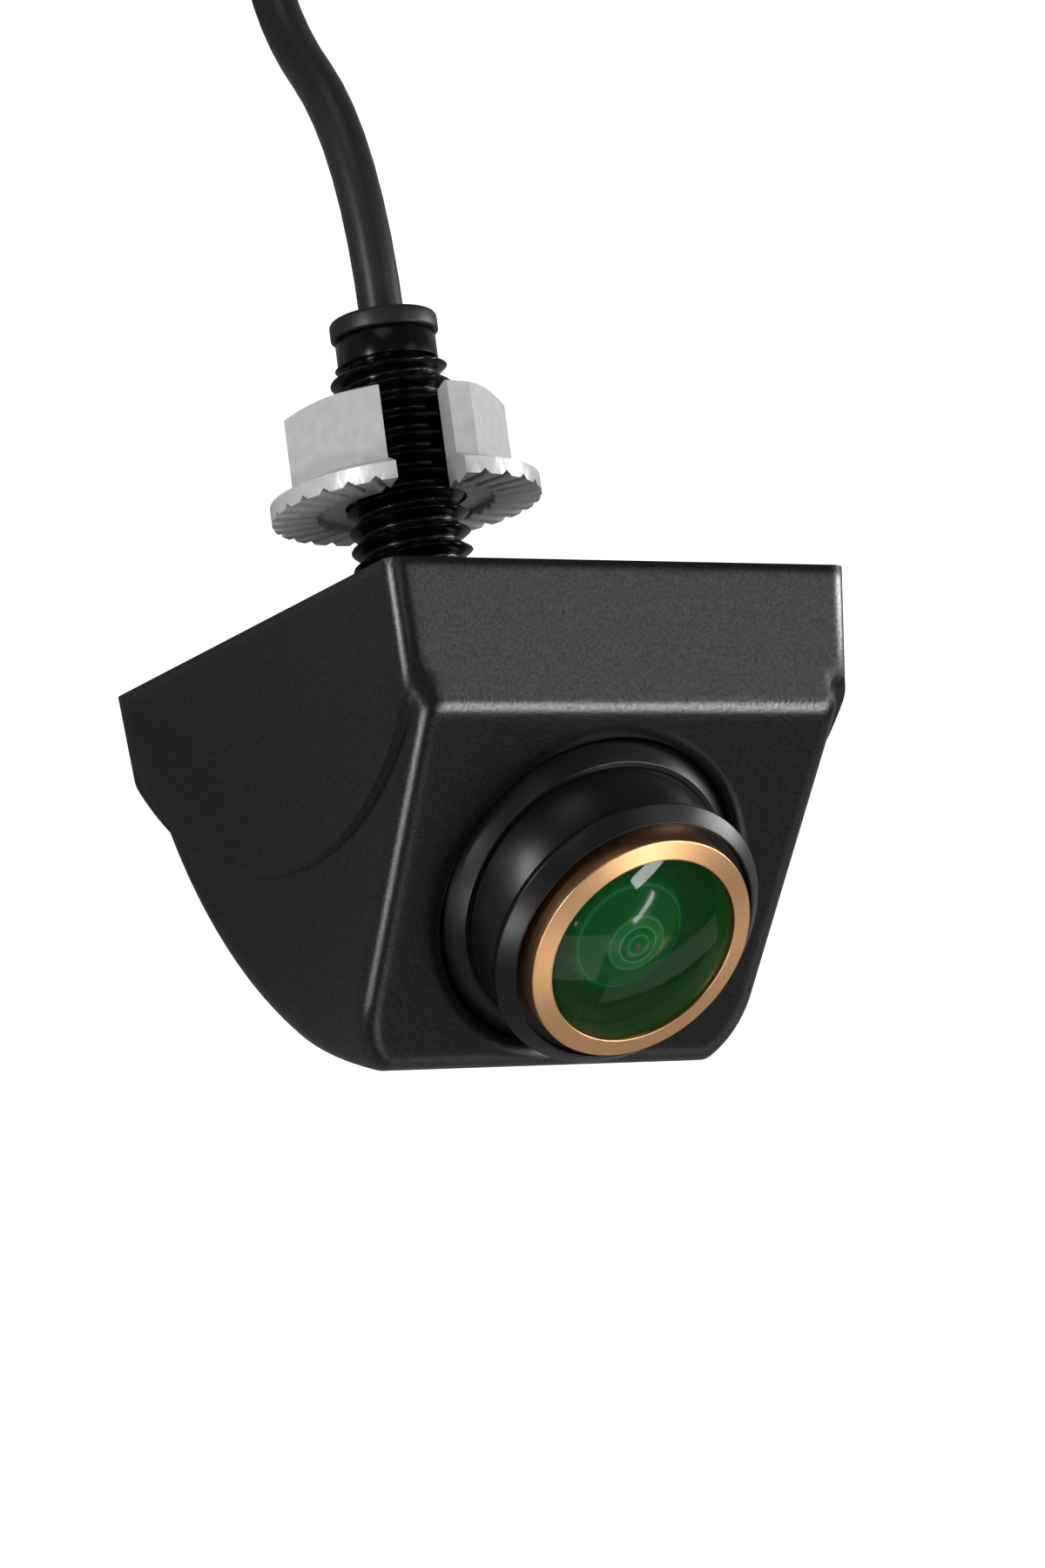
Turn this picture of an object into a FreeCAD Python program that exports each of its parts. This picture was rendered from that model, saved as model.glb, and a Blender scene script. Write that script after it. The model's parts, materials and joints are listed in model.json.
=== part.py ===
import FreeCAD, Part
import math
import os

"""Backup camera with a wedge housing, a swivelling eyeball lens and a hollow threaded stud.

Millimetres. The part lies on its back on a bench: +Z is up and is the way the housing's front
faces, +Y runs along the stud, out of the mounting face, and X runs across the width.
The origin is on the bench, under the middle of the camera without its cable.

Shapes are first made in one of three local frames and are then set in place:
  stud frame   Z along the stud, 0 at the mounting face, Y towards the back, X across
  lens frame   Z along the slanted face's normal, 0 at the ball's centre, X across
  eye frame    the same, turned about X by the angle at which the eyeball stands at rest
"""

V = FreeCAD.Vector

# ---------------------------------------------------------------- housing
HOUSING_WIDTH = 34.0          # across the mounting face
HOUSING_DEPTH = 35.3          # back to front at the mounting face
HOUSING_DROP = 28.84          # mounting face to the bottom edge
STUD_HEIGHT = 11.55           # stud axis above the rear face
FACET_DROP = 9.13             # height of the upright front facet
FACET_SET_BACK = 0.68
BOTTOM_EDGE_HEIGHT = 19.39    # bottom edge above the rear face
REAR_ARC_RADIUS = 33.3
REAR_ARC_Y = 1.6              # rear arc's centre, from the mounting face
REAR_ARC_Z = 33.35            # and above the rear face
BOTTOM_REACH = 0.25           # front outline past the edge as sketched
BOTTOM_CORNER_RADIUS = 5.0
BODY_INSET = 1.0              # lower body's side inside the ear's side, at the mounting face
BODY_DRAFT = 3.2              # degrees
EAR_DRAFT = 4.8               # degrees
EAR_ARC_RADIUS = 20.6
EAR_ARC_Y = 5.2               # ear arc's centre, from the mounting face
EAR_ARC_Z = 18.15             # and above the rear face
EDGE_RADIUS = 1.15
WALL = 1.6
CAVITY_HALF_WIDTH = 13.0
LEDGE_DEPTH = 5.0

# ---------------------------------------------------------------- mount plate and its screws
PLATE_THICKNESS = 2.2
PLATE_MARGIN = 1.6            # rim of the housing around the plate
PLATE_GAP = 0.05
PLATE_CORNER_RADIUS = 1.5
GASKET_THICKNESS = 0.6
GASKET_WIDTH = 1.1
SCREW_RADIUS = 0.95
SCREW_HEAD_RADIUS = 1.8
SCREW_HEAD_HEIGHT = 1.0
SCREW_LENGTH = 6.5
SCREW_SUNK = 0.1
SCREW_SOCKET_RADIUS = 0.6
SCREW_SOCKET_DEPTH = 0.6
SCREW_INSET = 3.9             # screw axis in from the housing's sides
POST_RADIUS = 2.1
POST_LENGTH = 7.0

# ---------------------------------------------------------------- stud, nut and grommet
STUD_RADIUS = 3.95
STUD_THREAD_END = 19.7
STUD_CHAMFER = 0.35
STUD_NECK_RADIUS = 3.3
STUD_LENGTH = 21.6
STUD_BORE_RADIUS = 1.75
STUD_FLANGE_RADIUS = 6.0
STUD_FLANGE_FLAT = 5.2        # half the distance across the flange's two flats
STUD_FLANGE_THICKNESS = 1.6
STUD_HOLE_CLEARANCE = 0.1
GROMMET_SEAT_RADIUS = 2.5
GROMMET_DEPTH = 5.0
GROMMET_LIP_RADIUS = 3.55
GROMMET_LIP_THICKNESS = 1.27
GROMMET_ROUND = 0.3
SEAL_SECTION = 0.55           # stud seal, radius of its cord
SEAL_MIDDLE_RADIUS = 4.95

NUT_REST_HEIGHT = 9.88        # underside of the flange above the mounting face
NUT_HEIGHT = 7.0
NUT_ACROSS_FLATS = 12.8
NUT_FLANGE_RADIUS = 8.85
NUT_FLANGE_RIM = 1.15
NUT_FLANGE_CONE_TOP = 2.1
NUT_CLEARANCE = 0.05
NUT_SLOT_WIDTH = 4.5
NUT_SLOT_TURN = 20.0          # degrees from the housing's front, towards -X
NUT_CHAMFER = 0.5
NUT_RECESS_RADIUS = 5.9
NUT_RECESS_DEPTH = 0.45
NUT_TEETH = 30
NUT_TOOTH_DEPTH = 0.35
NUT_TOOTH_WIDTH = 0.9

# ---------------------------------------------------------------- lens opening and carrier
LENS_BELOW_FACET = 12.72      # opening's centre, down the slanted face
BALL_DEPTH = 1.0              # ball's centre behind the slanted face
RIM_RADIUS = 11.25
RIM_ROUND = 0.85
RING_FLOOR = -0.3             # floor that the swivel ring bears on, lens frame
CARRIER_BORE_RADIUS = 10.0
CARRIER_CLEARANCE = 0.05
BOSS_RADIUS = 12.0
BOSS_END = -4.9
RING_FLANGE_RADIUS = 10.3
RING_FLANGE_TOP = 0.35
RING_TOP = 1.6
RING_TOP_RADIUS = 9.3
WASHER_THICKNESS = 0.4
WASHER_CLEARANCE = 0.02
CLIP_RADIUS = 10.4
CLIP_THICKNESS = 0.8
BALL_RADIUS = 9.1
BALL_CLEARANCE = 0.05
PIN_RADIUS = 0.6
PIN_CLEARANCE = 0.05
PIN_INNER_END = 8.35
PIN_OUTER_END = 9.8
BALL_SEAL_SECTION = 0.4
BALL_SEAL_ANGLE = 22.6        # degrees behind the pins
BALL_SEAL_CLEARANCE = 0.03

# ---------------------------------------------------------------- eyeball
EYE_TILT = 5.0                # degrees at rest, towards the bottom edge
BALL_SPLIT = -1.6
BALL_WALL = 0.9
NECK_RADIUS = 7.5
NECK_BORE_RADIUS = 6.9
NECK_END = 5.2
BEZEL_RADIUS = 9.24
BEZEL_BORE_RADIUS = 7.0
BEZEL_RIM_TOP = 5.64
BEZEL_MOUTH_RADIUS = 8.25
BEZEL_LIP = 0.12
BEZEL_TOP = 6.48
BEZEL_FLOOR = 5.8
TRIM_OUTER_RADIUS = 7.64
TRIM_INNER_RADIUS = 6.39
TRIM_OUTER_TOP = 7.41
TRIM_INNER_TOP = 7.68
GLASS_GAP = 0.03
GLASS_EDGE_TOP = 7.35
GLASS_RISE = 1.1
GLASS_EDGE_BOTTOM = 5.3
GLASS_HOLLOW_RADIUS = 4.2
GLASS_HOLLOW_DEPTH = 1.7
BARREL_GAP = 0.03
BARREL_SEAT_RADIUS = 5.3
BARREL_FLOOR_TOP = 1.4
BARREL_FLOOR_BOTTOM = 0.5
BARREL_APERTURE_RADIUS = 2.6
BARREL_TAIL_RADIUS = 4.6
BARREL_TAIL_BORE = 3.9
BARREL_TAIL_END = -3.2
SPACER_INNER_RADIUS = 3.9
SECOND_LENS_EDGE = 0.9
SECOND_LENS_RISE = 1.0
SECOND_LENS_RADIUS = 5.0
IRIS_TOP = 1.9
IRIS_RADIUS = 1.3
REAR_LENS_THICKNESS = 1.3
REAR_LENS_RISE = 0.6
HOLDER_RADIUS = 5.3
HOLDER_TOP = 0.2
HOLDER_CLEARANCE = 0.03
HOLDER_POCKET_RADIUS = 4.2
HOLDER_WINDOW_RADIUS = 2.3
HOLDER_WEB = 0.4
FILTER_SEAT = -3.75
FILTER_SIZE = 5.4
FILTER_THICKNESS = 0.4
SENSOR_WIDTH = 5.6
SENSOR_LENGTH = 4.8
SENSOR_THICKNESS = 0.6
EYE_BOARD_RADIUS = 5.5
EYE_BOARD_THICKNESS = 0.9
EYE_BOARD_TOP = -4.9
LEAD_RADIUS = 1.0
LEAD_SOCKET_WIDTH = 4.0
LEAD_SOCKET_LENGTH = 3.0
LEAD_SOCKET_HEIGHT = 1.4
LEAD_END = -9.4
BALL_REAR_HOLE_RADIUS = 2.4

# ---------------------------------------------------------------- electronics in the housing
BOARD_WIDTH = 21.0
BOARD_LENGTH = 12.6
BOARD_THICKNESS = 1.0
BOARD_OFFSET = 1.2            # board's face below the mount plate
BOARD_FROM_FRONT = 10.7       # board's middle behind the housing's front
CHIP_FROM_MIDDLE = -1.1
SOCKET_FROM_MIDDLE = -4.4
STANDOFF_RADIUS = 1.4
STANDOFF_SPACING = 17.0
CHIP_SIDE = 5.0
CHIP_HEIGHT = 0.9
CHIP_X = -5.5
POWER_SIDE = 3.6
POWER_HEIGHT = 1.4
SOCKET_WIDTH = 6.0
SOCKET_LENGTH = 2.6
SOCKET_DEPTH = 1.6
HARNESS_RADIUS = 0.6
HARNESS_DROP = 1.9

# ---------------------------------------------------------------- cable
CABLE_RADIUS = 1.5
CABLE_INNER_END = -6.6        # inside end, from the mounting face
CRIMP_RADIUS = 2.3
CRIMP_LENGTH = 2.6
COIL_INNER_RADIUS = 13.4
COIL_OUTER_RADIUS = 19.6
COIL_LOW = 0.0
COIL_TOP = 6.2
COIL_ROUND = 1.6
COIL_OUTER_TURN = 18.05       # cable's middle in the outer turns
COIL_CENTRE_Y = 67.5          # from the mounting face
COIL_TURNS = 4.0
CABLE_REST_HEIGHT = 1.55
TIE_WIDTH = 5.0
TIE_THICKNESS = 0.8
TIE_ANGLE = -65.0             # degrees round the coil, from +X
# free stretch from inside the grommet to the coil: x, distance from the mounting face, height
LEAD_POINTS = (
    (0.0, 19.5, STUD_HEIGHT),
    (0.0, 35.0, STUD_HEIGHT),
    (0.2, 50.5, CABLE_REST_HEIGHT),
    (1.0, 63.5, CABLE_REST_HEIGHT + 0.1),
)
TAIL_START = 68.0             # inside the coil's last turn
TAIL_END = 83.5

# ---------------------------------------------------------------- plug
PLUG_START = 79.6             # relief's thin end, from the mounting face
PLUG_HEIGHT = 4.5
PLUG_RADIUS = 4.4
PLUG_GRIP_LENGTH = 14.0
PLUG_RELIEF_LENGTH = 9.0
PLUG_RELIEF_RADIUS = 2.1
PLUG_RELIEF_END_RADIUS = 3.2
PLUG_NOSE_RADIUS = 3.6
PLUG_NOSE_BORE = 2.9
PLUG_NOSE_LENGTH = 8.0
PLUG_NOSE_DEEP = 6.0
PLUG_PIN_RADIUS = 0.4
PLUG_PIN_CIRCLE = 1.55
PLUG_PIN_LENGTH = 4.6
PLUG_PINS = 4
PLUG_SEAL_SECTION = 0.6
PLUG_SEAL_PLACE = 1.6         # seal's middle, from the grip's front face

OVERCUT = 2.0                 # how far cutters run past what they cut
POCKET_CLEARANCE = 0.3        # round the retaining clip

# ---------------------------------------------------------------- worked out
BOARD_CENTRE_Z = HOUSING_DEPTH - BOARD_FROM_FRONT
CHIP_Z = BOARD_CENTRE_Z + CHIP_FROM_MIDDLE
SOCKET_Z = BOARD_CENTRE_Z + SOCKET_FROM_MIDDLE
FACE_TURN = math.degrees(math.atan2(HOUSING_DEPTH - FACET_SET_BACK - BOTTOM_EDGE_HEIGHT,
                                    HOUSING_DROP - FACET_DROP))
LENS_AXIS = V(0, -math.sin(math.radians(FACE_TURN)), math.cos(math.radians(FACE_TURN)))
DOWN_FACE = V(0, -LENS_AXIS.z, LENS_AXIS.y)
FACET_FOOT = V(0, -FACET_DROP, HOUSING_DEPTH - FACET_SET_BACK)
BALL_CENTRE = FACET_FOOT + DOWN_FACE * LENS_BELOW_FACET - LENS_AXIS * BALL_DEPTH
EYE_TURN = FACE_TURN + EYE_TILT
SEAT_RADIUS = BALL_RADIUS + BALL_CLEARANCE
CUP_RADIUS = CARRIER_BORE_RADIUS - CARRIER_CLEARANCE
CUP_END = BOSS_END - WASHER_THICKNESS - 2 * WASHER_CLEARANCE
COIL_MIDDLE_RADIUS = (COIL_INNER_RADIUS + COIL_OUTER_RADIUS) / 2
COIL_CENTRE_X = LEAD_POINTS[-1][0] - COIL_OUTER_TURN
PLUG_X = LEAD_POINTS[-1][0]
STUD_TOP = STUD_LENGTH + GROMMET_LIP_THICKNESS
EYE_LOW = (BALL_CENTRE.y - BEZEL_RIM_TOP * math.sin(math.radians(EYE_TURN))
           - BEZEL_RADIUS * math.cos(math.radians(EYE_TURN)))
FACE_Y = -(EYE_LOW + STUD_TOP) / 2    # mounting face from the origin


# ================================================================ helpers
def outline(path):
    """Closed wire in the XZ plane from (x, z) points; (mid, end) pairs of points are arcs."""
    start = V(path[0][0], 0, path[0][1])
    here = start
    edges = []
    for step in list(path[1:]) + [path[0]]:
        if isinstance(step[0], tuple):
            middle = V(step[0][0], 0, step[0][1])
            end = V(step[1][0], 0, step[1][1])
            edges.append(Part.Arc(here, middle, end).toShape())
        else:
            end = V(step[0], 0, step[1])
            if end.distanceToPoint(here) > 1e-7:
                edges.append(Part.LineSegment(here, end).toShape())
        here = end
    return Part.Wire(edges)


def turned(path):
    """Solid of revolution about Z of an outline given as (radius, height) points."""
    return Part.Face(outline(path)).revolve(V(0, 0, 0), V(0, 0, 1), 360)


def tube(inner, outer, low, high):
    """Ring or tube about Z."""
    return turned([(inner, low), (outer, low), (outer, high), (inner, high)])


def rod(radius, low, high):
    """Cylinder about Z."""
    return Part.makeCylinder(radius, high - low, V(0, 0, low))


def block(width, length, low, high, x=0.0, y=0.0):
    """Box with its middle on (x, y), from low to high."""
    return Part.makeBox(width, length, high - low, V(x - width / 2, y - length / 2, low))


def cap_middle(radius, edge, top):
    """Middle point of a shallow arc from the axis at top down to radius at edge."""
    rise = top - edge
    sphere = (radius * radius + rise * rise) / (2 * rise)
    half = radius / 2
    return (half, top - sphere + math.sqrt(sphere * sphere - half * half))


def in_stud_frame(shape):
    """Set a shape made in the stud frame in its place."""
    shape = shape.copy()
    shape.rotate(V(0, 0, 0), V(1, 0, 0), -90)
    shape.translate(V(0, FACE_Y, STUD_HEIGHT))
    return shape


def in_lens_frame(shape, turn=FACE_TURN):
    """Set a shape made in the lens frame in its place."""
    shape = shape.copy()
    shape.rotate(V(0, 0, 0), V(1, 0, 0), turn)
    shape.translate(BALL_CENTRE + V(0, FACE_Y, 0))
    return shape


def in_eye_frame(shape):
    """Set a shape made in the eye frame in its place."""
    return in_lens_frame(shape, EYE_TURN)


# ================================================================ housing
def body_profile(inset, top):
    """Side profile of the lower body, moved in by inset, with its top at y = top."""
    set_in = LENS_AXIS * (-inset)
    facet_slope = FACET_SET_BACK / FACET_DROP
    facet_front = HOUSING_DEPTH - inset * math.hypot(1, facet_slope)
    slant_point = FACET_FOOT + set_in
    slant_slope = DOWN_FACE.z / DOWN_FACE.y
    # facet: z = facet_front + facet_slope * y; slanted face: z = a + slant_slope * y
    slant_base = slant_point.z - slant_slope * slant_point.y
    corner_y = (facet_front - slant_base) / (slant_slope - facet_slope)
    corner = (corner_y, facet_front + facet_slope * corner_y)
    centre_y, centre_z, radius = REAR_ARC_Y, REAR_ARC_Z, REAR_ARC_RADIUS - inset
    # where the slanted face meets the arc
    a = 1 + slant_slope ** 2
    b = 2 * (slant_slope * (slant_base - centre_z) - centre_y)
    c = centre_y ** 2 + (slant_base - centre_z) ** 2 - radius ** 2
    low_y = (-b - math.sqrt(b * b - 4 * a * c)) / (2 * a)
    low = (low_y, slant_base + slant_slope * low_y)
    rear = (centre_y, centre_z - radius)
    from_angle = math.atan2(low[1] - centre_z, low[0] - centre_y)
    to_angle = math.atan2(rear[1] - centre_z, rear[0] - centre_y)
    middle_angle = (from_angle + to_angle) / 2
    middle = (centre_y + radius * math.cos(middle_angle), centre_z + radius * math.sin(middle_angle))
    front_top = (top, facet_front + facet_slope * top)
    return [(top, rear[1]), front_top, corner, low, (middle, rear)]


def across(path, half_width):
    """Extrude a (y, z) profile along X, from -half_width to half_width."""
    shape = Part.Face(outline(path)).extrude(V(0, 2 * half_width, 0))
    shape.translate(V(0, -half_width, 0))
    shape.rotate(V(0, 0, 0), V(0, 0, 1), 90)
    shape = shape.mirror(V(0, 0, 0), V(1, 0, 0))
    return shape


def front_outline(half_top, draft, drop, corner_radius):
    """Block whose outline seen from the front narrows by draft and has rounded lower corners."""
    half_low = half_top - drop * math.tan(math.radians(draft))
    points = [V(half_top, 0, -1), V(half_low, -drop, -1), V(-half_low, -drop, -1), V(-half_top, 0, -1)]
    face = Part.Face(Part.makePolygon(points + points[:1]))
    solid = face.extrude(V(0, 0, HOUSING_DEPTH + 2))
    if corner_radius > 0:
        corners = [e for e in solid.Edges
                   if abs(e.BoundBox.ZLength - HOUSING_DEPTH - 2) < 0.1 and e.BoundBox.YMax < -drop / 2]
        solid = solid.makeFillet(corner_radius, corners)
    return solid


def lower_body():
    """Wedge-shaped body below the ears, edges rounded."""
    half = HOUSING_WIDTH / 2
    solid = across(body_profile(0, 0), half + 1)
    solid = solid.common(front_outline(half - BODY_INSET, BODY_DRAFT, HOUSING_DROP + BOTTOM_REACH,
                                       BOTTOM_CORNER_RADIUS))
    sharp = [e for e in solid.Edges if e.BoundBox.YMin < -0.01
             and (e.BoundBox.XLength > 1e-6 or e.BoundBox.YLength > 1e-6)]
    return solid.makeFillet(EDGE_RADIUS, sharp)


def ears():
    """Wider upper part of the housing, ended below by one arc about the X axis."""
    half = HOUSING_WIDTH / 2
    low = EAR_ARC_Y - EAR_ARC_RADIUS - 2
    slope = FACET_SET_BACK / FACET_DROP
    profile = [(0, 0), (0, HOUSING_DEPTH), (low, HOUSING_DEPTH + slope * low), (low, 0)]
    solid = across(profile, half + 1)
    solid = solid.common(front_outline(half, EAR_DRAFT, -low + 1, 0))
    long_edges = [e for e in solid.Edges if e.BoundBox.YLength > -low - 0.5]
    solid = solid.makeFillet(EDGE_RADIUS, long_edges)
    drum = Part.makeCylinder(EAR_ARC_RADIUS, 2 * (half + OVERCUT), V(-half - OVERCUT, EAR_ARC_Y, EAR_ARC_Z),
                             V(1, 0, 0))
    return solid.common(drum)


def plate_outline(inset, low, high):
    """Rounded plate that follows the mounting face's outline, moved in by inset."""
    width = HOUSING_WIDTH - 2 * inset
    length = HOUSING_DEPTH - 2 * inset
    solid = Part.makeBox(width, high - low, length, V(-width / 2, low, inset))
    corners = [e for e in solid.Edges if e.BoundBox.YLength > (high - low) - 1e-6
               and e.BoundBox.XLength < 1e-6 and e.BoundBox.ZLength < 1e-6]
    return solid.makeFillet(PLATE_CORNER_RADIUS, corners)


def screw_places():
    """(x, z) of the four cover screws."""
    x = HOUSING_WIDTH / 2 - SCREW_INSET
    return [(sx * x, z) for sx in (-1, 1) for z in (SCREW_INSET, HOUSING_DEPTH - SCREW_INSET)]


def housing_shell():
    """Die-cast housing: outer wedge, cavity, plate rebate, screw posts, lens boss and opening."""
    outer = ears().fuse(lower_body()).removeSplitter()
    cavity = across(body_profile(WALL, 1), CAVITY_HALF_WIDTH)
    top_cut = plate_outline(PLATE_MARGIN, -PLATE_THICKNESS - GASKET_THICKNESS, 1)
    neck = plate_outline(PLATE_MARGIN + GASKET_WIDTH, -LEDGE_DEPTH - 1, 1)
    deep = Part.makeBox(2 * CAVITY_HALF_WIDTH, HOUSING_DROP, HOUSING_DEPTH,
                        V(-CAVITY_HALF_WIDTH, -HOUSING_DROP - LEDGE_DEPTH, 0))
    cavity = cavity.common(neck.fuse(deep))
    posts = []
    for x, z in screw_places():
        post = Part.makeCylinder(POST_RADIUS, POST_LENGTH, V(x, -PLATE_THICKNESS - GASKET_THICKNESS - POST_LENGTH, z),
                                 V(0, 1, 0))
        posts.append(post)
    boss = rod(BOSS_RADIUS, BOSS_END, BALL_DEPTH)
    boss.rotate(V(0, 0, 0), V(1, 0, 0), FACE_TURN)
    boss.translate(BALL_CENTRE)
    cavity = cavity.cut(posts[0].fuse(posts[1:] + [boss]))
    pocket = rod(CLIP_RADIUS + POCKET_CLEARANCE, CUP_END - CLIP_THICKNESS - POCKET_CLEARANCE, BOSS_END)
    pocket.rotate(V(0, 0, 0), V(1, 0, 0), FACE_TURN)
    pocket.translate(BALL_CENTRE)
    shell = outer.cut([cavity, pocket, top_cut])
    holes = [Part.makeCylinder(SCREW_RADIUS, SCREW_LENGTH, V(x, -SCREW_LENGTH - SCREW_SUNK, z), V(0, 1, 0))
             for x, z in screw_places()]
    opening = turned([(0, BOSS_END - 0.5), (CARRIER_BORE_RADIUS, BOSS_END - 0.5),
                      (CARRIER_BORE_RADIUS, RING_FLOOR), (RIM_RADIUS - RIM_ROUND, RING_FLOOR),
                      (RIM_RADIUS - RIM_ROUND, BALL_DEPTH - RIM_ROUND),
                      ((RIM_RADIUS - RIM_ROUND * math.sqrt(0.5), BALL_DEPTH - RIM_ROUND * (1 - math.sqrt(0.5))),
                       (RIM_RADIUS, BALL_DEPTH)),
                      (RIM_RADIUS, BALL_DEPTH + 2), (0, BALL_DEPTH + 2)])
    opening.rotate(V(0, 0, 0), V(1, 0, 0), FACE_TURN)
    opening.translate(BALL_CENTRE)
    shell = shell.cut(holes + [opening])
    shell.translate(V(0, FACE_Y, 0))
    return shell


def mount_plate():
    """Cover plate in the housing's rebate, with the stud's hole and four countersunk screw holes."""
    low = -PLATE_THICKNESS
    plate = plate_outline(PLATE_MARGIN + PLATE_GAP, low, 0)
    cuts = [Part.makeCylinder(STUD_RADIUS + STUD_HOLE_CLEARANCE, PLATE_THICKNESS + 2,
                              V(0, low - 1, STUD_HEIGHT), V(0, 1, 0)),
            Part.makeTorus(SEAL_MIDDLE_RADIUS, SEAL_SECTION, V(0, low, STUD_HEIGHT), V(0, 1, 0))]
    for x, z in screw_places():
        cuts.append(Part.makeCylinder(SCREW_RADIUS, PLATE_THICKNESS + 2, V(x, low - 1, z), V(0, 1, 0)))
        cuts.append(Part.makeCylinder(SCREW_HEAD_RADIUS, 2, V(x, -SCREW_HEAD_HEIGHT - SCREW_SUNK, z), V(0, 1, 0)))
    plate = plate.cut(cuts)
    plate.translate(V(0, FACE_Y, 0))
    return plate


def plate_gasket():
    """Flat gasket between the plate and the ledge in the housing."""
    outer = plate_outline(PLATE_MARGIN + PLATE_GAP, -PLATE_THICKNESS - GASKET_THICKNESS, -PLATE_THICKNESS)
    inner = plate_outline(PLATE_MARGIN + GASKET_WIDTH, -PLATE_THICKNESS - 2 * GASKET_THICKNESS, 0)
    ring = outer.cut(inner)
    for x, z in screw_places():
        pad = Part.makeCylinder(POST_RADIUS, GASKET_THICKNESS, V(x, -PLATE_THICKNESS - GASKET_THICKNESS, z),
                                V(0, 1, 0))
        ring = ring.fuse(pad.common(outer))
    ring = ring.removeSplitter()
    ring = ring.cut([Part.makeCylinder(SCREW_RADIUS, 3, V(x, -PLATE_THICKNESS - 2, z), V(0, 1, 0))
                     for x, z in screw_places()])
    ring.translate(V(0, FACE_Y, 0))
    return ring


def cover_screw(x, z):
    """One cover screw with a round socket in its head."""
    head = Part.makeCylinder(SCREW_HEAD_RADIUS, SCREW_HEAD_HEIGHT, V(x, -SCREW_HEAD_HEIGHT - SCREW_SUNK, z),
                             V(0, 1, 0))
    shank = Part.makeCylinder(SCREW_RADIUS, SCREW_LENGTH, V(x, -SCREW_LENGTH - SCREW_SUNK, z), V(0, 1, 0))
    socket = Part.makeCylinder(SCREW_SOCKET_RADIUS, SCREW_SOCKET_DEPTH,
                               V(x, -SCREW_SOCKET_DEPTH - SCREW_SUNK, z), V(0, 1, 0))
    screw = head.fuse(shank).removeSplitter().cut(socket)
    screw.translate(V(0, FACE_Y, 0))
    return screw


# ================================================================ stud group, in the stud frame
def stud_seal_ring():
    """Seal between the stud's flange and the plate."""
    return Part.makeTorus(SEAL_MIDDLE_RADIUS, SEAL_SECTION, V(0, 0, -PLATE_THICKNESS))


def stud():
    """Hollow stud: flange under the plate, thread, neck, bore for the cable and grommet seat."""
    low = -PLATE_THICKNESS - STUD_FLANGE_THICKNESS
    seat_end = STUD_LENGTH - GROMMET_DEPTH
    profile = [(STUD_BORE_RADIUS, low), (STUD_FLANGE_RADIUS, low), (STUD_FLANGE_RADIUS, -PLATE_THICKNESS),
               (STUD_RADIUS, -PLATE_THICKNESS), (STUD_RADIUS, STUD_THREAD_END - STUD_CHAMFER),
               (STUD_RADIUS - STUD_CHAMFER, STUD_THREAD_END), (STUD_NECK_RADIUS, STUD_THREAD_END),
               (STUD_NECK_RADIUS, STUD_LENGTH), (GROMMET_SEAT_RADIUS, STUD_LENGTH),
               (GROMMET_SEAT_RADIUS, seat_end), (STUD_BORE_RADIUS, seat_end)]
    flats = block(2 * STUD_FLANGE_RADIUS + 1, 2 * STUD_FLANGE_FLAT, low - 1, STUD_LENGTH + 1)
    return in_stud_frame(turned(profile).common(flats).cut(stud_seal_ring()))


def cable_grommet():
    """Rubber grommet pressed into the stud's mouth around the cable."""
    seat_end = STUD_LENGTH - GROMMET_DEPTH
    profile = [(CABLE_RADIUS, seat_end), (GROMMET_SEAT_RADIUS, seat_end), (GROMMET_SEAT_RADIUS, STUD_LENGTH),
               (GROMMET_LIP_RADIUS, STUD_LENGTH), (GROMMET_LIP_RADIUS, STUD_TOP - GROMMET_ROUND),
               (GROMMET_LIP_RADIUS - GROMMET_ROUND, STUD_TOP), (CABLE_RADIUS, STUD_TOP)]
    return in_stud_frame(turned(profile))


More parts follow.
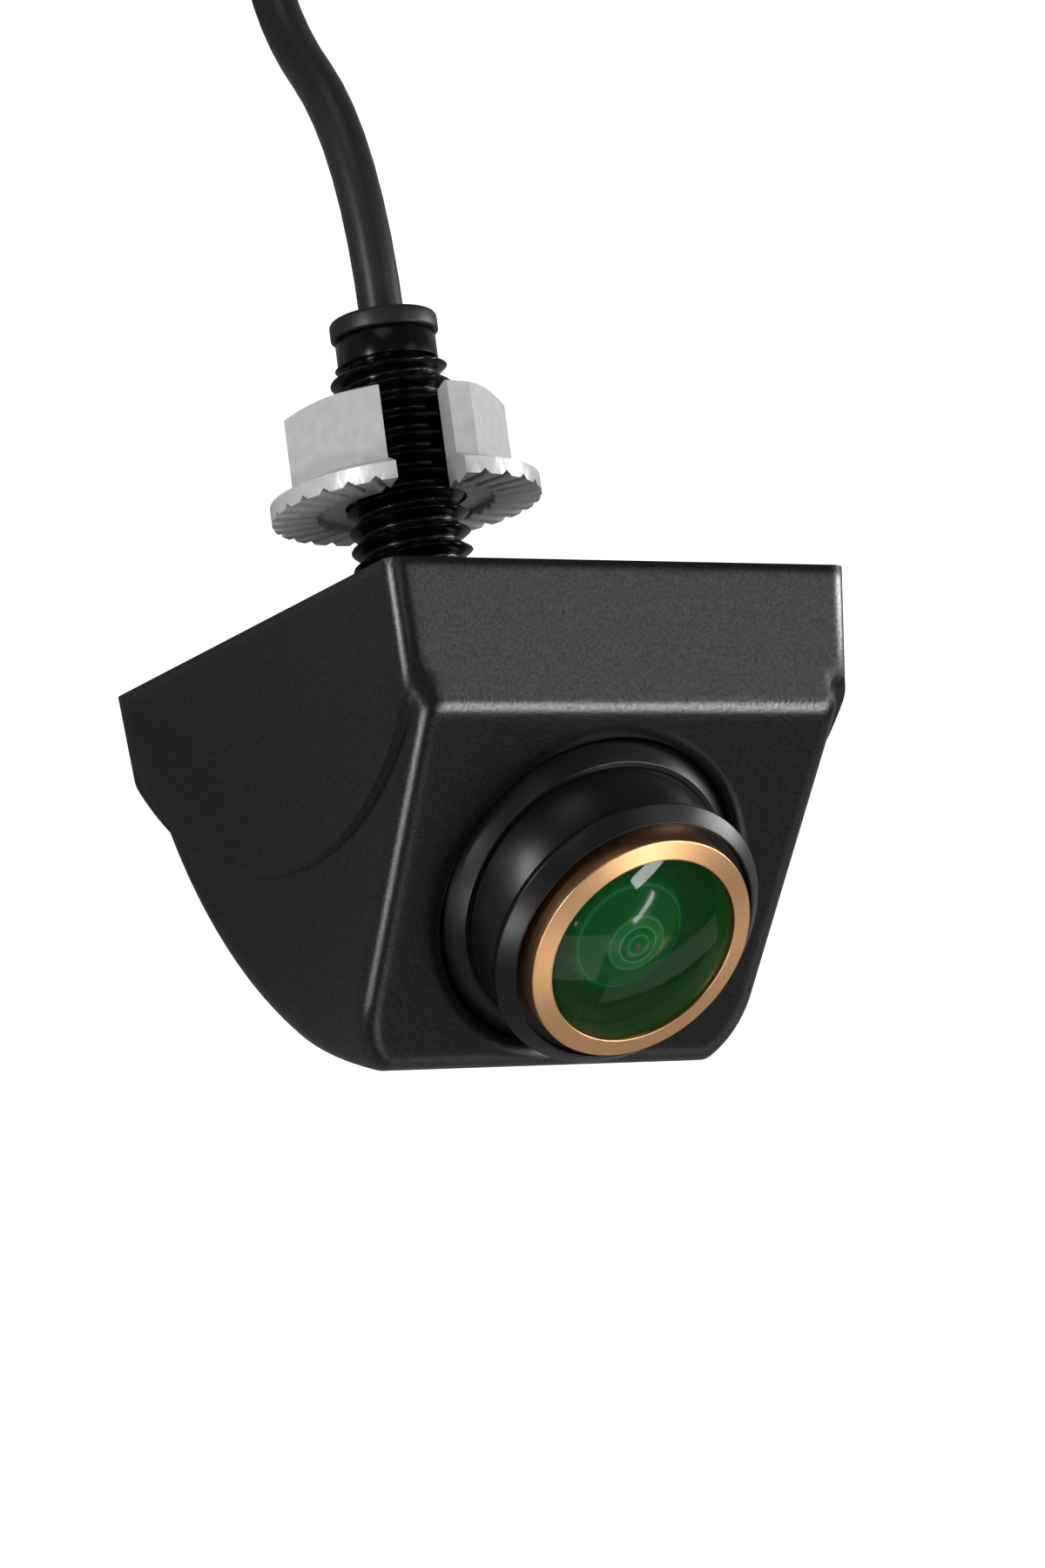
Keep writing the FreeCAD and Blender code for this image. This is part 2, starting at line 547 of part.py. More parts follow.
def flange_nut():
    """Slotted hexagon flange nut, its toothed flange facing the mounting face."""
    bore = STUD_RADIUS + NUT_CLEARANCE
    corner = NUT_ACROSS_FLATS / math.sqrt(3)
    flange = turned([(bore, 0), (NUT_FLANGE_RADIUS, 0), (NUT_FLANGE_RADIUS, NUT_FLANGE_RIM),
                     (NUT_ACROSS_FLATS / 2, NUT_FLANGE_CONE_TOP), (bore, NUT_FLANGE_CONE_TOP)])
    points = [V(corner * math.cos(math.radians(60 * i)), corner * math.sin(math.radians(60 * i)), 0)
              for i in range(6)]
    prism = Part.Face(Part.makePolygon(points + points[:1])).extrude(V(0, 0, NUT_HEIGHT))
    cone = turned([(0, -1), (corner + 0.2, -1), (corner + 0.2, NUT_HEIGHT - NUT_CHAMFER),
                   (NUT_ACROSS_FLATS / 2 - NUT_CHAMFER / 2, NUT_HEIGHT), (0, NUT_HEIGHT)])
    nut = flange.fuse(prism.common(cone))
    cuts = [rod(bore, -1, NUT_HEIGHT + 1), rod(NUT_RECESS_RADIUS, -1, NUT_RECESS_DEPTH)]
    half_tooth = NUT_TOOTH_WIDTH / 2
    for i in range(NUT_TEETH):
        notch = Part.Face(Part.makePolygon([V(0, -half_tooth, -0.01), V(0, half_tooth, -0.01),
                                            V(0, 0, NUT_TOOTH_DEPTH), V(0, -half_tooth, -0.01)]))
        notch = notch.extrude(V(NUT_FLANGE_RADIUS - NUT_RECESS_RADIUS + 1, 0, 0))
        notch.translate(V(NUT_RECESS_RADIUS - 0.2, 0, 0))
        notch.rotate(V(0, 0, 0), V(0, 0, 1), 360.0 * (i + 0.5) / NUT_TEETH)
        cuts.append(notch)
    cuts.append(Part.makeBox(NUT_SLOT_WIDTH, NUT_FLANGE_RADIUS + 2, NUT_HEIGHT + 2,
                             V(-NUT_SLOT_WIDTH / 2, -NUT_FLANGE_RADIUS - 2, -1)))
    nut = nut.cut(cuts)
    nut.rotate(V(0, 0, 0), V(0, 0, 1), -NUT_SLOT_TURN)
    nut.translate(V(0, 0, NUT_REST_HEIGHT))
    return in_stud_frame(nut)


# ================================================================ carrier, in the lens frame
def pin(sign):
    """Pivot pin on the X axis, on the side given by sign."""
    return Part.makeCylinder(PIN_RADIUS, PIN_OUTER_END - PIN_INNER_END, V(sign * PIN_INNER_END, 0, 0),
                             V(sign, 0, 0))


def pin_holes(radius):
    """Cutter for both pin holes."""
    return Part.makeCylinder(radius, 2 * PIN_OUTER_END, V(-PIN_OUTER_END, 0, 0), V(1, 0, 0))


def on_seat(height):
    """Radius of the spherical seat at a height."""
    return math.sqrt(SEAT_RADIUS ** 2 - height ** 2)


def swivel_ring():
    """Retaining ring above the ball: flange on the housing's floor, cone outside, ball seat inside."""
    low = RING_FLOOR + WASHER_CLEARANCE
    profile = [(CUP_RADIUS, low), (RING_FLANGE_RADIUS, low), (RING_FLANGE_RADIUS, RING_FLANGE_TOP),
               (RING_TOP_RADIUS, RING_TOP), (on_seat(RING_TOP), RING_TOP),
               ((on_seat(RING_TOP / 2), RING_TOP / 2), (SEAT_RADIUS, 0)), (CUP_RADIUS, 0)]
    return in_lens_frame(turned(profile).cut(pin_holes(PIN_RADIUS)))


def ball_seal_ring():
    """Seal in the cup's groove, just clear of the ball."""
    reach = BALL_RADIUS + BALL_SEAL_CLEARANCE + BALL_SEAL_SECTION
    angle = math.radians(BALL_SEAL_ANGLE)
    return Part.makeTorus(reach * math.cos(angle), BALL_SEAL_SECTION, V(0, 0, -reach * math.sin(angle)))


def carrier_cup():
    """Cup behind the ball with a spherical seat, pin seats and the seal's groove."""
    profile = [(on_seat(CUP_END), CUP_END), (CUP_RADIUS, CUP_END), (CUP_RADIUS, 0), (SEAT_RADIUS, 0),
               ((on_seat(CUP_END / 2), CUP_END / 2), (on_seat(CUP_END), CUP_END))]
    return in_lens_frame(turned(profile).cut([pin_holes(PIN_RADIUS), ball_seal_ring()]))


def retaining_clip():
    """Ring on the cup's end that keeps the carrier in the housing."""
    return in_lens_frame(tube(on_seat(CUP_END), CLIP_RADIUS, CUP_END - CLIP_THICKNESS, CUP_END))


def seat_spring():
    """Spring washer between the housing's boss and the clip."""
    high = BOSS_END - WASHER_CLEARANCE
    return in_lens_frame(tube(CARRIER_BORE_RADIUS + 0.05, CLIP_RADIUS, high - WASHER_THICKNESS, high))


# ================================================================ eyeball, in the eye frame
def on_ball(radius, height):
    """Radius of a sphere's circle at a height."""
    return math.sqrt(radius ** 2 - height ** 2)


def eyeball_front_shell():
    """Front half of the ball, open to the bezel's neck."""
    inner = BALL_RADIUS - BALL_WALL
    neck_height = on_ball(BALL_RADIUS, NECK_RADIUS)
    bore_height = on_ball(inner, NECK_BORE_RADIUS)
    outer_mid = (BALL_SPLIT + neck_height) / 2
    inner_mid = (BALL_SPLIT + bore_height) / 2
    profile = [(on_ball(inner, BALL_SPLIT), BALL_SPLIT), (on_ball(BALL_RADIUS, BALL_SPLIT), BALL_SPLIT),
               ((on_ball(BALL_RADIUS, outer_mid), outer_mid), (NECK_RADIUS, neck_height)), (NECK_RADIUS, NECK_END),
               (NECK_BORE_RADIUS, NECK_END), (NECK_BORE_RADIUS, bore_height),
               ((on_ball(inner, inner_mid), inner_mid), (on_ball(inner, BALL_SPLIT), BALL_SPLIT))]
    return in_eye_frame(turned(profile).cut(pin_holes(PIN_RADIUS + PIN_CLEARANCE)))


def eyeball_rear_shell():
    """Rear half of the ball, with the lead's hole."""
    inner = BALL_RADIUS - BALL_WALL
    outer_low = -on_ball(BALL_RADIUS, BALL_REAR_HOLE_RADIUS)
    inner_low = -on_ball(inner, BALL_REAR_HOLE_RADIUS)
    outer_mid = (BALL_SPLIT + outer_low) / 2
    inner_mid = (BALL_SPLIT + inner_low) / 2
    profile = [(on_ball(inner, BALL_SPLIT), BALL_SPLIT),
               ((on_ball(inner, inner_mid), inner_mid), (BALL_REAR_HOLE_RADIUS, inner_low)),
               (BALL_REAR_HOLE_RADIUS, outer_low),
               ((on_ball(BALL_RADIUS, outer_mid), outer_mid), (on_ball(BALL_RADIUS, BALL_SPLIT), BALL_SPLIT))]
    return in_eye_frame(turned(profile))


def lens_bezel():
    """Collar round the lens with a raised, coned rim."""
    profile = [(BEZEL_BORE_RADIUS, NECK_END), (BEZEL_RADIUS, NECK_END), (BEZEL_RADIUS, BEZEL_RIM_TOP),
               (BEZEL_MOUTH_RADIUS + BEZEL_LIP, BEZEL_TOP), (BEZEL_MOUTH_RADIUS, BEZEL_TOP),
               (BEZEL_MOUTH_RADIUS, BEZEL_FLOOR), (BEZEL_BORE_RADIUS, BEZEL_FLOOR)]
    return in_eye_frame(turned(profile))


def trim_ring():
    """Metal ring round the front glass, its top sloping up to the glass."""
    return in_eye_frame(turned([(TRIM_INNER_RADIUS, BEZEL_FLOOR), (TRIM_OUTER_RADIUS, BEZEL_FLOOR),
                                (TRIM_OUTER_RADIUS, TRIM_OUTER_TOP), (TRIM_INNER_RADIUS, TRIM_INNER_TOP)]))


def front_glass():
    """Domed front glass, hollow underneath."""
    radius = TRIM_INNER_RADIUS - GLASS_GAP
    top = GLASS_EDGE_TOP + GLASS_RISE
    hollow = GLASS_EDGE_BOTTOM + GLASS_HOLLOW_DEPTH
    return in_eye_frame(turned([
        (GLASS_HOLLOW_RADIUS, GLASS_EDGE_BOTTOM), (radius, GLASS_EDGE_BOTTOM), (radius, GLASS_EDGE_TOP),
        (cap_middle(radius, GLASS_EDGE_TOP, top), (0, top)), (0, hollow),
        (cap_middle(GLASS_HOLLOW_RADIUS, GLASS_EDGE_BOTTOM, hollow), (GLASS_HOLLOW_RADIUS, GLASS_EDGE_BOTTOM))]))


def glass_seal():
    """Rubber ring round the glass's foot, under the trim ring."""
    return in_eye_frame(tube(TRIM_INNER_RADIUS - GLASS_GAP, NECK_BORE_RADIUS, GLASS_EDGE_BOTTOM, BEZEL_FLOOR))


def lens_barrel():
    """Barrel in the ball's neck: lens seat, stop floor and tail tube."""
    radius = NECK_BORE_RADIUS - BARREL_GAP
    inner = BALL_RADIUS - BALL_WALL
    shoulder = on_ball(inner, NECK_BORE_RADIUS) - 2.2
    return in_eye_frame(turned([
        (BARREL_SEAT_RADIUS, GLASS_EDGE_BOTTOM), (radius, GLASS_EDGE_BOTTOM), (radius, shoulder),
        (BARREL_TAIL_RADIUS, BARREL_FLOOR_BOTTOM), (BARREL_TAIL_RADIUS, BARREL_TAIL_END),
        (BARREL_TAIL_BORE, BARREL_TAIL_END), (BARREL_TAIL_BORE, BARREL_FLOOR_BOTTOM),
        (BARREL_APERTURE_RADIUS, BARREL_FLOOR_BOTTOM), (BARREL_APERTURE_RADIUS, BARREL_FLOOR_TOP),
        (BARREL_SEAT_RADIUS, BARREL_FLOOR_TOP)]))


def stop_ring():
    """Aperture ring on the barrel's floor."""
    return in_eye_frame(tube(IRIS_RADIUS, SECOND_LENS_RADIUS, BARREL_FLOOR_TOP, IRIS_TOP))


def second_lens():
    """Second lens, flat underneath and domed on top."""
    edge = IRIS_TOP + SECOND_LENS_EDGE
    top = edge + SECOND_LENS_RISE
    return in_eye_frame(turned([(0, IRIS_TOP), (SECOND_LENS_RADIUS, IRIS_TOP), (SECOND_LENS_RADIUS, edge),
                                (SPACER_INNER_RADIUS, edge),
                                (cap_middle(SPACER_INNER_RADIUS, edge, top), (0, top))]))


def lens_spacer():
    """Spacer between the second lens and the front glass."""
    return in_eye_frame(tube(SPACER_INNER_RADIUS, BARREL_SEAT_RADIUS - BARREL_GAP,
                             IRIS_TOP + SECOND_LENS_EDGE, GLASS_EDGE_BOTTOM))


def rear_lens():
    """Rear lens under the barrel's floor, domed below."""
    radius = BARREL_TAIL_BORE - BARREL_GAP
    low = BARREL_FLOOR_BOTTOM - REAR_LENS_THICKNESS
    bottom = low - REAR_LENS_RISE
    middle = cap_middle(radius, 0, REAR_LENS_RISE)
    return in_eye_frame(turned([(0, bottom), ((middle[0], low - middle[1]), (radius, low)),
                                (radius, BARREL_FLOOR_BOTTOM), (0, BARREL_FLOOR_BOTTOM)]))


def lens_holder():
    """Holder that joins the barrel's tail to the sensor board."""
    bore = BARREL_TAIL_RADIUS + HOLDER_CLEARANCE
    return in_eye_frame(turned([
        (bore, HOLDER_TOP), (HOLDER_RADIUS, HOLDER_TOP), (HOLDER_RADIUS, EYE_BOARD_TOP),
        (HOLDER_POCKET_RADIUS, EYE_BOARD_TOP), (HOLDER_POCKET_RADIUS, FILTER_SEAT - HOLDER_WEB),
        (HOLDER_WINDOW_RADIUS, FILTER_SEAT - HOLDER_WEB), (HOLDER_WINDOW_RADIUS, FILTER_SEAT),
        (bore, FILTER_SEAT)]))


def wire_bend(points, radius):
    """Round wire along straight runs joined by tangent arcs; the last value returned is its length."""
    edges = []
    here = points[0]
    length = 0.0
    for i in range(1, len(points) - 1):
        before = points[i] - points[i - 1]
        after = points[i + 1] - points[i]
        shorter = min(before.Length, after.Length)
        before.normalize()
        after.normalize()
        half_turn = math.acos(max(-1.0, min(1.0, before.dot(after)))) / 2
        trim = 0.45 * shorter
        bend = trim / math.tan(half_turn)
        start = points[i] - before * trim
        end = points[i] + after * trim
        inward = (after - before).normalize()
        middle = points[i] + inward * (bend / math.cos(half_turn) - bend)
        edges.append(Part.LineSegment(here, start).toShape())
        edges.append(Part.Arc(start, middle, end).toShape())
        length += (start - here).Length + 2 * half_turn * bend
        print("bend radius %.1f" % bend)
        here = end
    edges.append(Part.LineSegment(here, points[-1]).toShape())
    length += (points[-1] - here).Length
    path = Part.Wire(edges)
    heading = points[1] - points[0]
    section = Part.Wire(Part.makeCircle(radius, points[0], heading))
    solid = path.makePipeShell([section], True, False)
    print("wire volume %.1f, section times length %.1f" % (solid.Volume, math.pi * radius ** 2 * length))
    return solid, length


def from_face(points):
    """Points (x, distance from the mounting face, height) as vectors in the part's frame."""
    return [V(x, y + FACE_Y, z) for x, y, z in points]


def cable_core():
    """Cable inside the stud, from the crimp to the grommet."""
    return in_stud_frame(rod(CABLE_RADIUS, CABLE_INNER_END, LEAD_POINTS[0][1]))


def crimp_ring():
    """Crimp behind the stud's flange that keeps the cable from pulling out."""
    high = -PLATE_THICKNESS - STUD_FLANGE_THICKNESS
    return in_stud_frame(tube(CABLE_RADIUS, CRIMP_RADIUS, high - CRIMP_LENGTH, high))


def ring_section(inner, outer, low, high, round_radius):
    """Ring about Z with a rounded rectangular section."""
    ring = tube(inner, outer, low, high)
    rims = [e for e in ring.Edges if isinstance(e.Curve, Part.Circle)]
    return ring.makeFillet(round_radius, rims)


def coil_solids():
    """Tied coil as one ring, and the strap pressed into it."""
    centre = V(COIL_CENTRE_X, COIL_CENTRE_Y + FACE_Y, 0)
    coil = ring_section(COIL_INNER_RADIUS, COIL_OUTER_RADIUS, COIL_LOW, COIL_TOP, COIL_ROUND)
    strap = Part.makeBox(2 * COIL_OUTER_RADIUS, TIE_WIDTH, COIL_TOP + 2, V(0, -TIE_WIDTH / 2, -1))
    strap.rotate(V(0, 0, 0), V(0, 0, 1), TIE_ANGLE)
    inside = ring_section(COIL_INNER_RADIUS + TIE_THICKNESS, COIL_OUTER_RADIUS - TIE_THICKNESS,
                          COIL_LOW + TIE_THICKNESS, COIL_TOP - TIE_THICKNESS, COIL_ROUND - TIE_THICKNESS)
    tie = coil.common(strap).cut(inside)
    coil = coil.cut(tie)
    coil.translate(centre)
    tie.translate(centre)
    return coil, tie


def in_plug_frame(shape):
    """Set a shape made about Z, 0 at the relief's thin end, along the plug's axis."""
    shape = shape.copy()
    shape.rotate(V(0, 0, 0), V(1, 0, 0), -90)
    shape.translate(V(PLUG_X, PLUG_START + FACE_Y, PLUG_HEIGHT))
    return shape


def plug_relief():
    """Tapered rubber relief on the cable."""
    return in_plug_frame(turned([(CABLE_RADIUS, 0), (PLUG_RELIEF_RADIUS, 0), (PLUG_RELIEF_END_RADIUS, PLUG_RELIEF_LENGTH),
                                 (CABLE_RADIUS, PLUG_RELIEF_LENGTH)]))


def plug_grip():
    """Plug's body with shallow finger grooves and a waist for the union ring."""
    low = PLUG_RELIEF_LENGTH
    high = low + PLUG_GRIP_LENGTH
    grip = turned([(0, low), (PLUG_RADIUS - 0.8, low), (PLUG_RADIUS, low + 1.5), (PLUG_RADIUS, high - 1),
                   (PLUG_NOSE_RADIUS, high), (PLUG_NOSE_RADIUS, high + PLUG_NOSE_LENGTH),
                   (PLUG_NOSE_BORE, high + PLUG_NOSE_LENGTH), (PLUG_NOSE_BORE, high + PLUG_NOSE_LENGTH - PLUG_NOSE_DEEP),
                   (0, high + PLUG_NOSE_LENGTH - PLUG_NOSE_DEEP)])
    cuts = [tube(PLUG_RADIUS - 0.4, PLUG_RADIUS + 1, low + 3.0 + 2.4 * i, low + 4.2 + 2.4 * i) for i in range(4)]
    return in_plug_frame(grip.cut(cuts + [plug_seal_ring()]))


def plug_seal_ring():
    """Ring seal round the plug's nose."""
    height = PLUG_RELIEF_LENGTH + PLUG_GRIP_LENGTH + PLUG_SEAL_PLACE
    return Part.makeTorus(PLUG_NOSE_RADIUS, PLUG_SEAL_SECTION, V(0, 0, height))


def plug_contacts():
    """Four contact pins on their common carrier."""
    base = PLUG_RELIEF_LENGTH + PLUG_GRIP_LENGTH + PLUG_NOSE_LENGTH - PLUG_NOSE_DEEP
    shape = rod(PLUG_NOSE_BORE - 0.3, base, base + 0.6)
    for i in range(PLUG_PINS):
        angle = math.radians(45 + 360.0 * i / PLUG_PINS)
        contact = rod(PLUG_PIN_RADIUS, base, base + PLUG_PIN_LENGTH)
        contact.translate(V(PLUG_PIN_CIRCLE * math.cos(angle), PLUG_PIN_CIRCLE * math.sin(angle), 0))
        shape = shape.fuse(contact)
    return in_plug_frame(shape.removeSplitter())


# ================================================================ electronics in the housing
def board_part(width, length, low, high, x, z):
    """Block on the main board: low and high measured down from the mounting face."""
    return Part.makeBox(width, high - low, length, V(x - width / 2, FACE_Y - high, z - length / 2))


def standoff(sign):
    """Standoff between the mount plate and the main board."""
    return Part.makeCylinder(STANDOFF_RADIUS, BOARD_OFFSET,
                             V(sign * STANDOFF_SPACING / 2, FACE_Y - PLATE_THICKNESS - BOARD_OFFSET, BOARD_CENTRE_Z),
                             V(0, 1, 0))


def build_nodes():
    """All the pieces, by node name."""
    board_top = PLATE_THICKNESS + BOARD_OFFSET
    board_low = board_top + BOARD_THICKNESS
    made = {
        "housing_shell": housing_shell(), "mount_plate": mount_plate(), "plate_gasket": plate_gasket(),
        "stud": stud(), "stud_seal": in_stud_frame(stud_seal_ring()), "cable_grommet": cable_grommet(),
        "flange_nut": flange_nut(), "swivel_ring": swivel_ring(), "carrier_cup": carrier_cup(),
        "ball_seal": in_lens_frame(ball_seal_ring()), "retaining_clip": retaining_clip(),
        "seat_spring": seat_spring(), "pivot_pin_left": in_lens_frame(pin(-1)),
        "pivot_pin_right": in_lens_frame(pin(1)), "eyeball_front_shell": eyeball_front_shell(),
        "eyeball_rear_shell": eyeball_rear_shell(), "lens_bezel": lens_bezel(), "trim_ring": trim_ring(),
        "front_glass": front_glass(), "glass_seal": glass_seal(), "lens_barrel": lens_barrel(),
        "stop_ring": stop_ring(), "second_lens": second_lens(), "lens_spacer": lens_spacer(),
        "rear_lens": rear_lens(), "lens_holder": lens_holder(),
        "colour_filter": in_eye_frame(block(FILTER_SIZE, FILTER_SIZE, FILTER_SEAT, FILTER_SEAT + FILTER_THICKNESS)),
        "image_sensor": in_eye_frame(block(SENSOR_WIDTH, SENSOR_LENGTH, EYE_BOARD_TOP,
                                           EYE_BOARD_TOP + SENSOR_THICKNESS)),
        "sensor_board": in_eye_frame(rod(EYE_BOARD_RADIUS, EYE_BOARD_TOP - EYE_BOARD_THICKNESS, EYE_BOARD_TOP)),
        "lead_socket": in_eye_frame(block(LEAD_SOCKET_WIDTH, LEAD_SOCKET_LENGTH,
                                          EYE_BOARD_TOP - EYE_BOARD_THICKNESS - LEAD_SOCKET_HEIGHT,
                                          EYE_BOARD_TOP - EYE_BOARD_THICKNESS)),
        "sensor_lead": in_eye_frame(rod(LEAD_RADIUS, LEAD_END,
                                        EYE_BOARD_TOP - EYE_BOARD_THICKNESS - LEAD_SOCKET_HEIGHT)),
        "standoff_left": standoff(-1), "standoff_right": standoff(1),
        "main_board": board_part(BOARD_WIDTH, BOARD_LENGTH, board_top, board_low, 0, BOARD_CENTRE_Z),
        "video_chip": board_part(CHIP_SIDE, CHIP_SIDE, board_low, board_low + CHIP_HEIGHT, CHIP_X, CHIP_Z),
        "power_coil": board_part(POWER_SIDE, POWER_SIDE, board_low, board_low + POWER_HEIGHT, -CHIP_X, CHIP_Z),
        "board_socket": board_part(SOCKET_WIDTH, SOCKET_LENGTH, board_low, board_low + SOCKET_DEPTH, 0, SOCKET_Z),
        "cable_core": cable_core(), "crimp_ring": crimp_ring(),
        "plug_relief": plug_relief(), "plug_grip": plug_grip(), "plug_seal": in_plug_frame(plug_seal_ring()),
        "plug_contacts": plug_contacts(),
    }
    for name, place in zip(("cover_screw_a", "cover_screw_b", "cover_screw_c", "cover_screw_d"), screw_places()):
        made[name] = cover_screw(*place)
    inner_end = CABLE_INNER_END
    harness, _ = wire_bend(from_face([(0, inner_end, STUD_HEIGHT), (0, inner_end - HARNESS_DROP, STUD_HEIGHT),
                                      (0, inner_end - HARNESS_DROP, SOCKET_Z),
                                      (0, -board_low - SOCKET_DEPTH, SOCKET_Z)]), HARNESS_RADIUS)
    made["wire_harness"] = harness
    coil, tie = coil_solids()
    lead, lead_length = wire_bend(from_face(LEAD_POINTS), CABLE_RADIUS)
    made["cable_lead"] = lead.cut(coil)
    made["cable_coil"] = coil
    made["coil_tie"] = tie
    tail = Part.makeCylinder(CABLE_RADIUS, TAIL_END - TAIL_START, V(PLUG_X, TAIL_START + FACE_Y, PLUG_HEIGHT),
                             V(0, 1, 0))
    made["plug_tail"] = tail.cut(coil)
    turns = 2 * math.pi * COIL_MIDDLE_RADIUS * COIL_TURNS
    print("cable: lead %.0f, coil %.0f, tail %.0f" % (lead_length, turns, TAIL_END - TAIL_START))
    return made


os.makedirs("parts", exist_ok=True)
for node, shape in build_nodes().items():
    if len(shape.Solids) == 1:
        shape = shape.Solids[0]
    print("%-20s solids %d valid %s volume %.1f faces %d" % (node, len(shape.Solids), shape.isValid(), shape.Volume,
                                                            len(shape.Faces)))
    shape.exportStep("parts/%s.step" % node)
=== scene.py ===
"""Scene for a backup camera with a wedge housing, an eyeball lens and a hollow threaded stud.

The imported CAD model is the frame. This script loads it, swaps the turned, threaded and corded pieces for
smooth surfaces worked out with numpy, gives every piece its finish, and sets the floor, lights and camera.
Lengths are in metres; a class that writes a profile in millimetres says so.
"""

import json
import logging
import math
from dataclasses import dataclass, field
from enum import Enum
from typing import Dict, List, Optional, Sequence, Tuple, Union

import bmesh
import bpy
import numpy as np
from mathutils import Matrix, Vector


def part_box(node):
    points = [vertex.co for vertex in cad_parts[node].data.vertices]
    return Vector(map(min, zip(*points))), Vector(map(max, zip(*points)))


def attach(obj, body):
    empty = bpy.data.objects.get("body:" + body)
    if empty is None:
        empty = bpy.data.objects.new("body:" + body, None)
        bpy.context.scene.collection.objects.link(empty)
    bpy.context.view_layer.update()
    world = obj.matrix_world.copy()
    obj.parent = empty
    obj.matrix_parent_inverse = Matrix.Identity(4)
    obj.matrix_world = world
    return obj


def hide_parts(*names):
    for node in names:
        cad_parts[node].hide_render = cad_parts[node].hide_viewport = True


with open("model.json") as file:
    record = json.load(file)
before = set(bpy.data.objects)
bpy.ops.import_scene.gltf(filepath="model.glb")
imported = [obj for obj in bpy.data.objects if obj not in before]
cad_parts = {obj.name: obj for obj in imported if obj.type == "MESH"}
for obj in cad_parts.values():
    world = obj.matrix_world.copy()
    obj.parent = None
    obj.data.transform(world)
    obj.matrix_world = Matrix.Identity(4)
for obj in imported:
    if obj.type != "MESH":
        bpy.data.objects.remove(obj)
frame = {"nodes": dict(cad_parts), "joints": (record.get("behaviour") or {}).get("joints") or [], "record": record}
LOG = logging.getLogger("backup_camera")
MM = 0.001
CAD_MERGE = 2e-6            # metres; joins the loose triangles of a CAD node's copy
NOISE_DETAIL = 3.0
TURNED_ROUND = 3.0          # patches of noise along one turn of a turned surface
SPECKLE_BAND = (0.35, 0.65)  # noise levels between which the reflection varies
CONTRAST_BAND = (0.3, 0.7)   # noise levels between which the colour varies
EDGE_SAMPLES = 8
Colour = Tuple[float, float, float]
Point = Tuple[float, float, float]


class Texture(Enum):
    """Surface textures that a finish can carry."""

    PLAIN = "plain"
    GRAIN = "fine cast grain"
    TURNED = "fine turned lines round the axis"
    MOTTLED = "plated and mottled"


class Body(Enum):
    """Moving bodies of the frame."""

    CAMERA = "camera_body"
    NUT = "nut"
    SWIVEL = "swivel"
    EYEBALL = "eyeball"


def start_material(name: str) -> Tuple[bpy.types.Material, bpy.types.Node]:
    """Start a material with nodes.

    Args:
        name: Material name.

    Returns:
        The material and its Principled shader.
    """
    made = bpy.data.materials.new(name)
    made.use_nodes = True
    return made, made.node_tree.nodes["Principled BSDF"]


